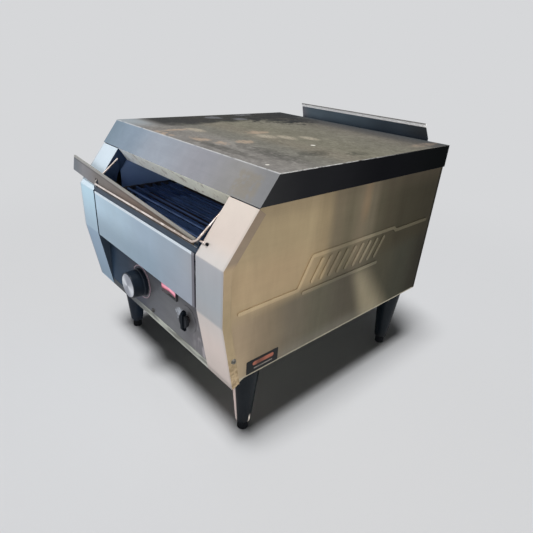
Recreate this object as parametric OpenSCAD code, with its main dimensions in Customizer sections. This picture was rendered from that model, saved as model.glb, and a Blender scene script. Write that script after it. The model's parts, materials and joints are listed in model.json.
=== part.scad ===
// Countertop conveyor toaster: a folded sheet-metal body on four tapered legs. Bread goes in
// through the slanted mouth at the front, rides a rod conveyor between two rows of heating
// elements and slides out down a chute at the back.
// Lengths are millimetres. Pieces are drawn in body coordinates: X to the right seen from the
// front, Y from the front face to the back, Z up from the lower edge of the side panels.
// on_legs() then lifts them over the counter, with the origin midway between the four feet.

/* [Body] */
// Width over the front pillars
body_w = 368; // [350:1:400]
// Depth from the front face to the back edge of the side panels
body_d = 415; // [405:1:440]
// Height of the lid's top over the side panels' lower edge
body_h = 242.3; // [238:0.1:250]
// Thickness of the folded sheets
sheet = 1.2; // [0.8:0.1:1.5]
// Height of the bend where the upright front starts to slant back
brow_z = 152.5; // [148:0.1:156]
// Slope of the upper front, from the horizontal
slant_a = 52.6; // [50:0.1:56]
// Height of the bend where the lower front tapers back
chin_z = 85; // [85:0.1:92]
// Setback of the foremost lower corner
toe_y = 16.3; // [14:0.1:18]
// Drop of that corner under the side panels' lower edge
toe_drop = 8.3; // [6:0.1:10]
// Distance from the front to the start of the level lower edge
toe_cut = 33.4; // [30:0.1:38]

/* [Front] */
// Width of each front pillar
pillar_w = 49.5; // [45:0.1:52]
// Width of the pillar's flange that laps the side panel
pillar_lap = 11; // [8:0.5:14]
// Depth of the pillar's inner return
pillar_return = 25; // [15:1:30]
// Gap between the drawer front and each pillar
panel_gap = 3.5; // [1:0.1:5]
// Setback of the upright control panel
control_y = 15.5; // [14:0.1:16]
// Height of the control panel's lower edge
control_z = 3.5; // [2:0.1:6]

/* [Lid] */
// Height of the lid's skirt
lid_skirt = 32; // [28:0.5:34]
// How far the lid's front stands proud of the slant
lid_proud = 0.8; // [0.2:0.1:1]
// Clearance between the lid's skirt and the side panels
lid_clear = 0.4; // [0.2:0.1:1]
// Depth of the baffle that hangs under the lid's front edge, along its slope
baffle_l = 22; // [18:0.5:24]
// Slope of the baffle, from the horizontal
baffle_a = 56; // [50:1:65]

/* [Rear guard] */
// Width of the guard at its foot
guard_w = 275; // [240:1:300]
// Height of the guard over the lid
guard_rise = 23.2; // [12:0.1:25]
// How far the guard stands behind the body
guard_stand = 20.8; // [15:0.1:25]
// Forward lean of the guard's top edge
guard_lean = 9.8; // [4:0.1:12]

/* [Loading mouth] */
// Height of the loading tray's floor
tray_floor_z = 142; // [139:0.1:143]
// Height of the loading tray's front edge
tray_lip_z = 160; // [156:0.1:161]
// Gap between the loading tray's floor and the belt's chains
tray_to_belt = 2; // [1:0.1:4]
// Diameter of the bent feed rod round the mouth
feed_rod_d = 2.6; // [2:0.1:3]
// Height of the feed rod's front run
feed_rod_z = 164; // [163:0.1:166]
// Slope of the feed rod's side runs
feed_rod_a = 39; // [35:1:42]
// Length of the side runs
feed_rod_l = 50; // [40:1:52]
// Corner radius of the feed rod
feed_rod_r = 7; // [5:0.5:10]
// Length of the loose feed guard
guard_l = 338; // [320:1:340]
// Height of the feed guard
guard_h = 23; // [18:0.5:23]
// Tilt of the feed guard, which lies askew with its right end down
guard_tilt = 3.8; // [3:0.1:4]
// Backward lean of the feed guard's upper edge
guard_lean_a = 8; // [4:0.5:9]
// Sideways place of the feed guard's upper left corner
guard_x = -214; // [-214:1:-200]
// Height of the feed guard's upper left corner
guard_z = 188; // [188:0.1:191]

/* [Conveyor] */
// Height of the belt's upper run
belt_z = 150; // [148:0.1:151]
// Distance from the shaft's centre to the belt's rods
belt_r = 20; // [19:0.1:21]
// Diameter of the belt's rods
belt_rod_d = 4; // [3:0.1:5]
// Distance from rod to rod
belt_pitch = 14; // [12:0.5:18]
// Distance from the front face to the front shaft
idler_y = 50; // [50:0.5:54]
// Distance from the back of the body to the back shaft
drive_inset = 85; // [80:0.5:95]
// Diameter of the conveyor shafts
shaft_d = 10; // [8:0.1:12]
// Radial clearance of a shaft in its bush
run_clear = 0.05; // [0.02:0.01:0.09]
// Half the distance between the two conveyor frame plates
frame_x = 138; // [137:0.1:140]
// Thickness of the frame plates
frame_t = 1.5; // [1:0.1:2]
// Height of the belt's side chains
chain_h = 6; // [5:0.1:7]
// Width of the belt's side chains
chain_w = 4; // [3:0.1:5]

/* [Heating] */
// Diameter of the heating elements
element_d = 8; // [6:0.1:9]
// Number of elements above the belt
upper_count = 4; // [2:1:5]
// Number of elements inside the belt
lower_count = 4; // [2:1:5]
// Height of the upper elements
upper_z = 205; // [203:0.5:208]
// Distance from a shaft to the nearest element
element_inset = 42.5; // [41:0.5:50]

/* [Drive] */
// Height of the motor's shaft
motor_z = 42; // [38:0.5:46]
// Diameter of the motor's shaft
motor_shaft_d = 8; // [6:0.1:10]
// Teeth of the sprocket on the belt's drive shaft
driven_teeth = 18; // [14:1:20]
// Teeth of the motor's sprocket
motor_teeth = 12; // [9:1:12]
// Pitch of the drive chain
drive_pitch = 9.5; // [8:0.1:10]
// Side of the square cooling fan
fan_w = 60; // [50:1:70]
// Thickness of the cooling fan
fan_t = 20; // [15:1:25]

/* [Controls] */
// Sideways place of the speed knob
knob_x = -29; // [-50:1:0]
// Height of the speed knob
knob_z = 42.5; // [35:0.5:48]
// Diameter of the speed knob
knob_d = 38; // [30:0.5:44]
// How far the knob's cap stands out from the control panel
knob_out = 22; // [16:0.5:26]
// Diameter of the dial plate behind the knob
dial_d = 49; // [45:0.5:55]
// Sideways place of the power switch
switch_x = 50; // [46:0.5:54]
// Height of the power switch
switch_z = 68; // [66:0.5:69]
// Width of the switch's rocker
rocker_w = 31; // [26:0.5:32]
// Height of the switch's rocker
rocker_h = 18; // [14:0.5:19]
// Tilt of the rocker between on and off
rocker_a = 16; // [10:1:18]
// Sideways place of the selector knob
selector_x = 92; // [80:0.5:96]
// Height of the selector knob
selector_z = 42; // [38:0.5:46]
// Diameter of the plate behind the selector knob
selector_dial_d = 37; // [30:0.5:40]
// Diameter of the selector knob's round base
selector_d = 18; // [16:0.5:28]
// Length of the selector knob's grip bar
selector_bar_l = 28; // [24:0.5:34]
// Width of the grip bar
selector_bar_w = 5; // [4:0.5:9]
// How far the grip bar stands out from the control panel
selector_out = 10; // [9:0.5:16]

/* [Legs] */
// Height of a leg
leg_h = 106; // [80:1:120]
// Diameter of a leg at its top
leg_top_d = 39.5; // [32:0.5:42]
// Diameter of a leg at its tip
leg_tip_d = 21.5; // [18:0.5:22]
// Height of the foot under the leg
foot_h = 12; // [10:0.5:20]
// Diameter of the foot
foot_d = 15; // [12:0.5:18]
// Distance from the side of the body to the middle of a leg
leg_side = 29; // [26:1:35]
// Distance from the front face to the front legs
leg_front_y = 60; // [56:1:70]
// Distance from the back of the body to the back legs
leg_back = 28; // [27:1:40]
// Travel of a foot when it is screwed out
foot_travel = 15; // [5:1:20]

/* [Back] */
// Height of the discharge opening
exit_h = 54; // [48:0.5:56]
// Half the width of the discharge opening
exit_x = 128; // [120:0.5:130]
// How far the chute reaches out behind the body
chute_out = 20; // [5:0.5:22]
// Bore of the cord gland
gland_d = 9.2; // [8:0.1:12]
// Sideways place of the cord gland
gland_x = -135; // [-140:1:-120]
// Height of the cord gland
gland_z = 30; // [25:1:40]

/* [Side panels] */
// How far the pressed ribs stand out
rib_h = 1.1; // [0.5:0.1:1.2]
// Width of the pressed ribs
rib_w = 5; // [3:0.5:7]
// Height of the rib's front half
rib_low_z = 94; // [88:1:98]
// Height of the rib where it passes over the slanted bars
rib_high_z = 134; // [128:1:138]
// Place of the rib's front end
rib_start_y = 23; // [20:1:30]
// Place where the rib steps up
rib_step_y = 113; // [105:1:120]
// Place where the rib steps down again, from the back of the body
rib_step_back = 109; // [100:1:120]
// Number of slanted bars in the pressed field
bar_count = 9; // [5:1:11]

/* [Hidden] */
$fn = 48;

// Clearance between pieces that move past each other, and around pieces that are only laid in
gap = 0.3;
body_lift = leg_h + foot_h;
lid_edge_z = body_h - lid_skirt;
pillar_top_z = lid_edge_z - sheet;
pillar_x = body_w / 2 - pillar_w;
side_out = body_w / 2 - sheet;
side_in = side_out - sheet;
side_top_z = body_h - sheet - 5;
mouth_x = pillar_x - gap;
frame_out = frame_x + frame_t;

// Heights of the deck over the control compartment and of the drawer that slides on it
deck_z = chin_z - 1;
drawer_z = deck_z + gap;
drawer_wall_h = 13;
drawer_front_h = 30;
drawer_x = frame_x - 12;
drawer_back_y = body_d - drive_inset - 8;

belt_axis_z = belt_z - belt_r;
drive_y = body_d - drive_inset;
shaft_r = shaft_d / 2;
chain_x = 128;
chain_in_x = chain_x - chain_w / 2;
sprocket_tip_r = belt_r - chain_h / 2 - 2 * gap;
belt_run = drive_y - idler_y;
belt_loop = 2 * belt_run + 2 * PI * belt_r;
belt_rods = floor(belt_loop / belt_pitch);

bush_r = shaft_r + 4;
frame_front_y = idler_y - 4;
frame_back_y = drive_y + 42;
frame_top_z = body_h - sheet - 15;
frame_slant_gap = 9;
frame_slant_y = slant_y(frame_top_z) + frame_slant_gap;
frame_slant_z = brow_z + (frame_front_y - frame_slant_gap) * tan(slant_a);
tie_z = frame_top_z - 14;
lower_z = belt_axis_z + 1;
element_y0 = idler_y + element_inset;
element_span = belt_run - 2 * element_inset;
drive_plane_x = frame_out + 9;
driven_r = drive_pitch * driven_teeth / (2 * PI);
motor_r = drive_pitch * motor_teeth / (2 * PI);
drive_chain_t = 5;
motor_y = drive_y;
gear_w = 36;
gear_r = 30;
gear_to_chain = 12;
motor_l = 62;

exit_z = deck_z + 7;
chute_drop = 13;
tray_y = 2 * sheet + gap;
tray_rise = tray_floor_z - belt_axis_z;
chain_out_r = belt_r + chain_h / 2;
tray_back_y = floor(10 * (idler_y - sqrt(chain_out_r ^ 2 - tray_rise ^ 2) - tray_to_belt)) / 10;
guard_y = tray_y + gap;
feed_rod_y = guard_y - feed_rod_d / 2 - 2 * gap;
feed_rod_x = pillar_x - 3.5;
fan_x = -60;
fan_z = 42;
knob_face_y = control_y - knob_out;
neck_r = 5;
pivot_y = control_y + 3;
case_x = rocker_w / 2 + gap + 1.2;
case_h = rocker_h / 2 + gap + 1.2;
leg_x = body_w / 2 - leg_side;
leg_back_y = body_d - leg_back;
leg_places = [
    [-leg_x, leg_front_y], [leg_x, leg_front_y], [-leg_x, leg_back_y], [leg_x, leg_back_y]
];
screw_r = 1.9;
screw_hole_r = screw_r + 0.1;
flange_screw_z = 34;
flange_screw = [
    toe_y * (chin_z - flange_screw_z) / (chin_z + toe_drop) + pillar_lap / 2 + 2, flange_screw_z
];
panel_screw_z = control_z + 5;
rear_screw_x = side_in - 12;
rear_screw_z = [20, 110, lid_edge_z - 15];
stud_r = 5;
stem_r = 4;
stem_l = 15 + foot_travel;

// Points of the front: foremost lower corner, chin, brow and the lid's front edge
function slant_y(z) = (z - brow_z) / tan(slant_a);
function front_line(top_z) = [
    [toe_y, -toe_drop], [0, chin_z], [0, brow_z], [slant_y(top_z), top_z]
];

// Offsets a line of points to its right by t, with mitred corners
function direction(a, b) = (b - a) / norm(b - a);
function right_of(d) = [d.y, -d.x];
function mitre(d0, d1) = let (s = right_of(d0) + right_of(d1)) 2 * s / (s * s);
function offset_line(p, t) = let (last = len(p) - 1) [
    for (i = [0:last])
        let (before = direction(p[max(i - 1, 0)], p[max(i, 1)]))
        let (after = direction(p[min(i, last - 1)], p[min(i + 1, last)]))
        p[i] + t * mitre(before, after)
];
function reversed(p) = [for (i = [len(p) - 1:-1:0]) p[i]];
function spread(first, span, count, i) = first + (count > 1 ? span * i / (count - 1) : span / 2);

// Place of the rod at distance s round the belt: upper run, back bend, lower run, front bend
function belt_point(s) =
    s < belt_run ? [idler_y + s, belt_z]
    : s < belt_run + PI * belt_r ? bend_point(drive_y, (s - belt_run) / belt_r, 90)
    : s < 2 * belt_run + PI * belt_r
        ? [drive_y - (s - belt_run - PI * belt_r), belt_axis_z - belt_r]
    : bend_point(idler_y, (s - 2 * belt_run - PI * belt_r) / belt_r, -90);
function bend_point(y, turned, from_a) = let (a = from_a - turned * 180 / PI)
    [y + belt_r * cos(a), belt_axis_z + belt_r * sin(a)];

module on_legs() {
    translate([0, -(leg_front_y + leg_back_y) / 2, body_lift]) children();
}

// Extrudes a Y-Z outline from x0 to x1
module along_x(x0, x1) {
    translate([x0, 0, 0]) rotate([90, 0, 90]) linear_extrude(x1 - x0) children();
}

// Extrudes an X-Z outline from y0 to y1
module along_y(y0, y1) {
    translate([0, y1, 0]) rotate([90, 0, 0]) linear_extrude(y1 - y0) children();
}

// A sheet of thickness t, folded along a Y-Z line of points and lying to its right
module folded(points, t, x0, x1) {
    along_x(x0, x1) polygon(concat(points, reversed(offset_line(points, t))));
}

module block(x0, x1, y0, y1, z0, z1) {
    translate([x0, y0, z0]) cube([x1 - x0, y1 - y0, z1 - z0]);
}

module rod_x(x0, x1, y, z, r) {
    translate([x0, y, z]) rotate([0, 90, 0]) cylinder(h = x1 - x0, r = r);
}

module rod_y(x, y0, y1, z, r) {
    translate([x, y1, z]) rotate([90, 0, 0]) cylinder(h = y1 - y0, r = r);
}

module both_sides() {
    children();
    mirror([1, 0, 0]) children();
}

// A straight bar with round ends, in 2D
module bar_2d(a, b, w) {
    l = norm(b - a);
    turn = atan2(b.y - a.y, b.x - a.x);
    translate(a) rotate(turn) {
        circle(d = w);
        translate([l, 0]) circle(d = w);
        translate([0, -w / 2]) square([l, w]);
    }
}

// A long round-ended outline round two shafts, at distance r from their centres
module belt_outline(r) {
    bar_2d([idler_y, belt_axis_z], [drive_y, belt_axis_z], 2 * r);
}

module sprocket_2d(teeth, root_r, tip_r, bore_r) {
    tooth_w = 2 * PI * root_r / teeth * 0.45;
    difference() {
        union() {
            circle(r = root_r);
            for (i = [0:teeth - 1]) {
                rotate(i * 360 / teeth) translate([0, -tooth_w / 2]) square([tip_r, tooth_w]);
            }
        }
        circle(r = bore_r);
    }
}

module side_outline(top_z) {
    polygon(concat(front_line(top_z), [[body_d, top_z], [body_d, 0], [toe_cut, 0]]));
}

module base_pan() {
    color("darkgray") on_legs() difference() {
        union() {
            folded([
                [body_d - sheet - gap, 0], [toe_cut, 0], [toe_y, -toe_drop],
                [control_y, control_z - 2 * gap]
            ], sheet, -mouth_x, mouth_x);
            both_sides() block(mouth_x, side_in, toe_cut, body_d - sheet - gap, 0, sheet);
            both_sides() block(side_in - sheet, side_in, toe_cut, body_d - sheet - gap, 0, 14);
        }
        for (p = leg_places) {
            translate([p.x, p.y, -1]) cylinder(h = 2 * sheet + 2, r = stud_r + 0.2);
        }
    }
}

// Pressed field: two rib lines that step round a row of slanted bars
module pressed_ribs() {
    step_up = [rib_step_y, rib_low_z];
    top_front = [rib_step_y + 21, rib_high_z];
    top_back = [body_d - rib_step_back, rib_high_z];
    step_down = top_back + [7, -5];
    field_y = rib_step_y + 2 * rib_w;
    field_w = top_back.x - field_y;
    under_z = rib_low_z - 7;
    bar_pitch = (field_w - 36) / bar_count;
    bar_2d([rib_start_y, rib_low_z], step_up, rib_w);
    bar_2d(step_up, top_front, rib_w);
    bar_2d(top_front, top_back, rib_w);
    bar_2d(top_back, step_down, rib_w);
    bar_2d(step_down, [body_d - 18, step_down.y], rib_w);
    bar_2d([field_y, under_z], [field_y + 0.83 * field_w, under_z], rib_w);
    for (i = [0:bar_count - 1]) {
        y = field_y + 14 + i * bar_pitch;
        bar_2d([y, rib_low_z + rib_w], [y + 16, rib_high_z - 9], rib_w);
    }
}

module side_panel() {
    along_x(side_in, side_out) difference() {
        intersection() {
            side_outline(side_top_z);
            polygon(concat(
                offset_line(front_line(side_top_z), sheet), [[body_d, side_top_z], [body_d, 0]],
                [[toe_cut, -0.1]]
            ));
        }
        translate(flange_screw) circle(r = screw_hole_r);
    }
    along_x(side_out - 0.1, side_out + rib_h) pressed_ribs();
}

module side_panel_left() {
    color("tan") on_legs() mirror([1, 0, 0]) side_panel();
}

module side_panel_right() {
    color("tan") on_legs() side_panel();
}

module front_pillar() {
    front = front_line(pillar_top_z);
    inner_return = [
        [toe_cut, 0], [pillar_return, chin_z], [pillar_return, brow_z],
        [slant_y(pillar_top_z) + pillar_return, pillar_top_z]
    ];
    folded(front, sheet, pillar_x, body_w / 2);
    along_x(pillar_x, pillar_x + sheet) polygon(concat(front, reversed(inner_return)));
    along_x(side_out, body_w / 2) difference() {
        intersection() {
            side_outline(pillar_top_z);
            polygon(concat(front, reversed(offset_line(front, pillar_lap))));
        }
        translate(flange_screw) circle(r = screw_hole_r);
    }
    folded([[toe_cut, 0], [toe_y, -toe_drop]], sheet, pillar_x, side_in);
}

module front_pillar_left() {
    color("lightsteelblue") on_legs() mirror([1, 0, 0]) front_pillar();
}

module front_pillar_right() {
    color("mistyrose") on_legs() front_pillar();
}

module control_panel() {
    hole_y0 = control_y - 1;
    hole_y1 = control_y + sheet + 1;
    color("dimgray") on_legs() difference() {
        union() {
            block(-mouth_x, mouth_x, control_y, control_y + sheet, control_z, deck_z - sheet);
            block(
                -mouth_x, mouth_x, control_y, control_y + 12, deck_z - 2 * sheet, deck_z - sheet
            );
        }
        rod_y(knob_x, hole_y0, hole_y1, knob_z, neck_r + 0.2);
        rod_y(selector_x, hole_y0, hole_y1, selector_z, neck_r + 0.2);
        rod_y(0, hole_y0, hole_y1, panel_screw_z, screw_hole_r);
        block(
            switch_x - case_x - 0.2, switch_x + case_x + 0.2, hole_y0, hole_y1,
            switch_z - case_h - 0.2, switch_z + case_h + 0.2
        );
    }
}

module heat_deck() {
    slot_y = driven_r + drive_chain_t + 3;
    color("silver") on_legs() difference() {
        union() {
            block(
                -mouth_x, mouth_x, tray_y + sheet, pillar_return + 1, deck_z - sheet, deck_z
            );
            block(
                -side_in, side_in, pillar_return + 1, body_d - sheet - gap, deck_z - sheet, deck_z
            );
        }
        block(
            drive_plane_x - 5, drive_plane_x + 5, drive_y - slot_y, drive_y + slot_y,
            deck_z - sheet - 1, deck_z + 1
        );
    }
}

module rear_panel() {
    slot_h = 3;
    slot_w = 26;
    color("gainsboro") on_legs() difference() {
        block(-side_in, side_in, body_d - sheet, body_d, sheet, side_top_z);
        along_y(body_d - sheet - 1, body_d + 1) {
            translate([-exit_x, exit_z]) square([2 * exit_x, exit_h]);
            for (row = [0:5], column = [0:2]) {
                translate([35 + column * 36, 18 + row * 8]) square([slot_w, slot_h]);
            }
            for (i = [0:6]) {
                translate([fan_x - 24, fan_z - 24 + i * 7.5]) square([48, slot_h]);
            }
        }
        rod_y(gland_x, body_d - sheet - 1, body_d + 1, gland_z, gland_d / 2 + 3);
        both_sides() for (z = rear_screw_z) {
            rod_y(rear_screw_x, body_d - sheet - 1, body_d + 1, z, screw_hole_r);
        }
    }
}

module lid() {
    half_w = side_out + lid_clear + sheet;
    front_shift = lid_proud / sin(slant_a);
    back_y = body_d + lid_clear + sheet;
    line = [
        [slant_y(lid_edge_z) - front_shift, lid_edge_z], [slant_y(body_h) - front_shift, body_h],
        [back_y, body_h], [back_y, lid_edge_z]
    ];
    color("darkslategray") on_legs() {
        folded(line, sheet, -half_w, half_w);
        both_sides() along_x(half_w - sheet, half_w) polygon(line);
    }
}

module lid_baffle() {
    seat = (sheet - lid_proud) / sin(slant_a);
    fold_z = lid_edge_z - 1;
    flange_z = lid_edge_z + 9;
    fold = [slant_y(fold_z) + seat, fold_z];
    color("antiquewhite") on_legs() folded([
        fold + baffle_l * [cos(baffle_a), -sin(baffle_a)], fold,
        [slant_y(flange_z) + seat, flange_z]
    ], sheet, -mouth_x, mouth_x);
}

module rear_guard() {
    shelf_z = lid_edge_z - 4;
    foot_z = shelf_z - 13;
    top_z = body_h + guard_rise - feed_rod_d / 2;
    back_y = body_d + guard_stand;
    tip_x = guard_w / 2 - 5;
    color("slategray") on_legs() intersection() {
        union() {
            folded([
                [body_d, foot_z], [body_d, shelf_z], [back_y, shelf_z], [back_y, body_h],
                [back_y - guard_lean, top_z]
            ], sheet, -guard_w / 2, guard_w / 2);
            rod_x(-guard_w / 2, guard_w / 2, back_y - guard_lean, top_z, feed_rod_d / 2);
        }
        along_y(body_d - 1, back_y + 5) polygon([
            [-guard_w / 2, foot_z], [guard_w / 2, foot_z], [guard_w / 2, body_h],
            [tip_x, top_z + 5], [-tip_x, top_z + 5], [-guard_w / 2, body_h]
        ]);
    }
}

// Point of the feed rod's side run at distance s behind the front run
function feed_run(s) = [
    feed_rod_y + s * cos(feed_rod_a), feed_rod_z + s * sin(feed_rod_a)
];

module loading_tray() {
    panel_x = pillar_x - panel_gap - sheet - gap;
    plate_low = tray_floor_z - sheet;
    under_rod = (feed_rod_d / 2 + gap) * [sin(feed_rod_a), -cos(feed_rod_a)];
    plate_front = ceil(10 * (guard_y + sheet + guard_h / 2 * sin(guard_lean_a) + gap)) / 10;
    run_start = feed_run((plate_front - under_rod.x - feed_rod_y) / cos(feed_rod_a)) + under_rod;
    run_end = feed_run(feed_rod_l) + under_rod;
    color("burlywood") on_legs() {
        block(-panel_x, panel_x, tray_y - sheet, tray_y, plate_low, brow_z + gap);
        block(-mouth_x, mouth_x, tray_y - sheet, tray_y, brow_z + gap, tray_lip_z);
        block(-panel_x, panel_x, tray_y - sheet, tray_back_y, plate_low, tray_floor_z);
        both_sides() block(
            panel_x, feed_rod_x + sheet / 2, plate_front, tray_back_y, plate_low, tray_floor_z
        );
        both_sides() along_x(feed_rod_x - sheet / 2, feed_rod_x + sheet / 2) polygon([
            [plate_front, plate_low], run_start, run_end, [run_end.x, run_end.y - 12],
            [tray_back_y, tray_floor_z + 1], [tray_back_y, plate_low]
        ]);
    }
}

// One half of the feed rod: half the front run, a corner and a side run, in its own plane
module feed_rod_half() {
    r = feed_rod_d / 2;
    corner_x = feed_rod_x - feed_rod_r;
    rod_x(0, corner_x, 0, 0, r);
    translate([corner_x, feed_rod_r, 0]) rotate(-90) rotate_extrude(angle = 90)
        translate([feed_rod_r, 0]) circle(r = r, $fn = 24);
    translate([feed_rod_x, feed_rod_r, 0]) rotate([-90, 0, 0])
        cylinder(h = feed_rod_l - feed_rod_r, r = r);
}

module feed_rod() {
    color("whitesmoke") on_legs() translate([0, feed_rod_y, feed_rod_z])
        rotate([feed_rod_a, 0, 0]) both_sides() feed_rod_half();
}

// A straight strip with a hemmed upper edge. A notch clears the feed rod's left corner
module feed_guard() {
    hem = feed_rod_d;
    top_y = guard_y + guard_h * sin(guard_lean_a);
    notch_x = -feed_rod_x - feed_rod_d / 2 - 2 * gap;
    notch_w = feed_rod_d + feed_rod_r;
    notch_z = feed_rod_z + feed_rod_d + 4;
    color("rosybrown") on_legs() difference() {
        translate([guard_x, top_y, guard_z]) rotate([0, guard_tilt, 0])
            rotate([-guard_lean_a, 0, 0]) {
                block(0, guard_l, 0, sheet, -guard_h, 0);
                block(0, guard_l, 0, hem, -hem, 0);
            }
        block(
            notch_x, notch_x + notch_w, guard_y - 1, top_y + hem + 1, feed_rod_z - 20, notch_z
        );
    }
}

module front_panel() {
    half_w = pillar_x - panel_gap;
    color("lightsteelblue") on_legs() {
        block(-half_w, half_w, 0, sheet, drawer_z, brow_z);
        both_sides() block(half_w - sheet, half_w, 0, 9, drawer_z, drawer_z + drawer_front_h);
    }
}

module crumb_tray() {
    front_y = sheet;
    wall_top = drawer_z + drawer_wall_h;
    color("lightgray") on_legs() {
        block(-drawer_x, drawer_x, front_y, drawer_back_y, drawer_z, drawer_z + sheet);
        block(-drawer_x, drawer_x, front_y, front_y + sheet, drawer_z, drawer_z + drawer_front_h);
        block(-drawer_x, drawer_x, drawer_back_y - sheet, drawer_back_y, drawer_z, wall_top);
        both_sides() block(
            drawer_x - sheet, drawer_x, front_y, drawer_back_y, drawer_z, wall_top
        );
    }
}

module toast_chute() {
    half_w = exit_x - 0.5;
    start = [drawer_back_y + 10, exit_z + chute_drop];
    end = [body_d + chute_out, exit_z + 1];
    rim_y = drive_y + chain_out_r + 5;
    rim_start = start + (end - start) * (rim_y - start.x) / (end.x - start.x);
    rim = [0, 16];
    seam = [0, -sheet / 2];
    color("silver") on_legs() {
        folded([start, end], sheet, -half_w, half_w);
        both_sides() along_x(half_w - sheet, half_w)
            polygon([rim_start + seam, end + seam, end + rim, rim_start + rim]);
    }
}

module conveyor_frame() {
    difference() {
        along_x(frame_x, frame_out) difference() {
            polygon([
                [frame_front_y, deck_z], [frame_back_y, deck_z], [frame_back_y, frame_top_z],
                [frame_slant_y, frame_top_z], [frame_front_y, frame_slant_z]
            ]);
            for (i = [0:upper_count - 1]) {
                translate([spread(element_y0, element_span, upper_count, i), upper_z])
                    circle(d = element_d + 0.4);
            }
            for (i = [0:lower_count - 1]) {
                translate([spread(element_y0, element_span, lower_count, i), lower_z])
                    circle(d = element_d + 0.4);
            }
        }
        for (y = [idler_y, drive_y]) {
            rod_x(frame_x - 1, frame_out + 1, y, belt_axis_z, bush_r + 0.05);
        }
    }
}

module conveyor_frame_left() {
    color("silver") on_legs() mirror([1, 0, 0]) conveyor_frame();
}

module conveyor_frame_right() {
    color("silver") on_legs() conveyor_frame();
}

// Round bars that hold the two frame plates apart: two above the belt, one under the chute
module frame_ties() {
    tie_r = 4;
    tie_places = [
        [slant_y(tie_z) + 3 * frame_slant_gap, tie_z], [frame_back_y - 8, tie_z],
        [drawer_back_y + 16, deck_z + tie_r + 1]
    ];
    color("gray") on_legs() for (p = tie_places) rod_x(-frame_x, frame_x, p.x, p.y, tie_r);
}

module shaft_bushes() {
    color("darkgoldenrod") on_legs() both_sides() for (y = [idler_y, drive_y]) {
        difference() {
            union() {
                rod_x(frame_x - 2, frame_out, y, belt_axis_z, bush_r);
                rod_x(frame_out, frame_out + 2, y, belt_axis_z, bush_r + 3);
            }
            rod_x(frame_x - 3, frame_out + 3, y, belt_axis_z, shaft_r + run_clear);
        }
    }
}

module conveyor_chains() {
    color("dimgray") on_legs() both_sides()
        along_x(chain_in_x, chain_in_x + chain_w) difference() {
            belt_outline(belt_r + chain_h / 2);
            belt_outline(belt_r - chain_h / 2);
        }
}

module conveyor_rods() {
    color("slategray") on_legs() for (i = [0:belt_rods - 1]) {
        p = belt_point(i * belt_loop / belt_rods);
        rod_x(-chain_in_x, chain_in_x, p.x, p.y, belt_rod_d / 2);
    }
}

module belt_sprockets(y) {
    both_sides() along_x(chain_x - 1.5, chain_x + 1.5) translate([y, belt_axis_z])
        sprocket_2d(9, sprocket_tip_r - 3.5, sprocket_tip_r, shaft_r);
}

module drive_shaft() {
    color("silver") on_legs()
        rod_x(-frame_out - 4, drive_plane_x + 4, drive_y, belt_axis_z, shaft_r);
}

module drive_sprockets() {
    color("darkgray") on_legs() belt_sprockets(drive_y);
}

module driven_sprocket() {
    color("darkgray") on_legs() {
        along_x(drive_plane_x - 1.5, drive_plane_x + 1.5) translate([drive_y, belt_axis_z])
            sprocket_2d(driven_teeth, driven_r - 4.5, driven_r - 0.5, shaft_r);
    }
}

module idler_shaft() {
    color("silver") on_legs() rod_x(-frame_out - 4, frame_out + 4, idler_y, belt_axis_z, shaft_r);
}

module idler_sprockets() {
    color("darkgray") on_legs() belt_sprockets(idler_y);
}

// Gearbox and motor on the base pan, with the output shaft to the right
module gearmotor() {
    gear_x1 = drive_plane_x - gear_to_chain;
    gear_x0 = gear_x1 - gear_w;
    color("gray") on_legs() difference() {
        union() {
            block(
                gear_x0, gear_x1, motor_y - gear_r - 2, motor_y + gear_r - 2, motor_z - gear_r,
                motor_z + gear_r
            );
            rod_x(gear_x0 - motor_l, gear_x0, motor_y - 4, motor_z, gear_r - 4);
            rod_x(gear_x1, gear_x1 + 4, motor_y, motor_z, motor_shaft_d / 2 + 8);
            block(gear_x0, gear_x1, motor_y - gear_r - 10, motor_y + gear_r + 10, sheet, sheet + 3);
            block(
                gear_x0, gear_x1, motor_y - gear_r + 5, motor_y + gear_r - 5, sheet,
                motor_z - gear_r + 1
            );
        }
        rod_x(gear_x1 - 14, gear_x1 + 5, motor_y, motor_z, motor_shaft_d / 2 + run_clear);
    }
}

// The motor's output shaft with its sprocket
module motor_sprocket() {
    color("darkgray") on_legs() {
        rod_x(
            drive_plane_x - gear_to_chain - 13, drive_plane_x + 3, motor_y, motor_z,
            motor_shaft_d / 2
        );
        along_x(drive_plane_x - 1.5, drive_plane_x + 1.5) translate([motor_y, motor_z])
            sprocket_2d(motor_teeth, motor_r - 4.5, motor_r - 0.5, motor_shaft_d / 2 - 0.5);
    }
}

// Outline round the two sprockets of the drive at distance d outside their pitch circles
module drive_outline(d) {
    hull() {
        translate([drive_y, belt_axis_z]) circle(r = driven_r + d);
        translate([drive_y, motor_z]) circle(r = motor_r + d);
    }
}

module drive_chain() {
    color("dimgray") on_legs() along_x(drive_plane_x - 3, drive_plane_x + 3) difference() {
        drive_outline(drive_chain_t);
        drive_outline(0);
    }
}

module element_row(count, z) {
    for (i = [0:count - 1]) {
        y = spread(element_y0, element_span, count, i);
        rod_x(-frame_out - 8, frame_out + 8, y, z, element_d / 2);
        both_sides() rod_x(frame_out + 8, frame_out + 16, y, z, 1.5);
    }
}

module upper_elements() {
    color("sienna") on_legs() element_row(upper_count, upper_z);
}

module lower_elements() {
    color("sienna") on_legs() element_row(lower_count, lower_z);
}

module element_insulators() {
    rows = [[upper_count, upper_z], [lower_count, lower_z]];
    color("ivory") on_legs() both_sides() for (row = rows, i = [0:row[0] - 1]) {
        y = spread(element_y0, element_span, row[0], i);
        difference() {
            rod_x(frame_out, frame_out + 6, y, row[1], element_d / 2 + 3);
            rod_x(frame_out - 1, frame_out + 7, y, row[1], element_d / 2 + 0.05);
        }
    }
}

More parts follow.
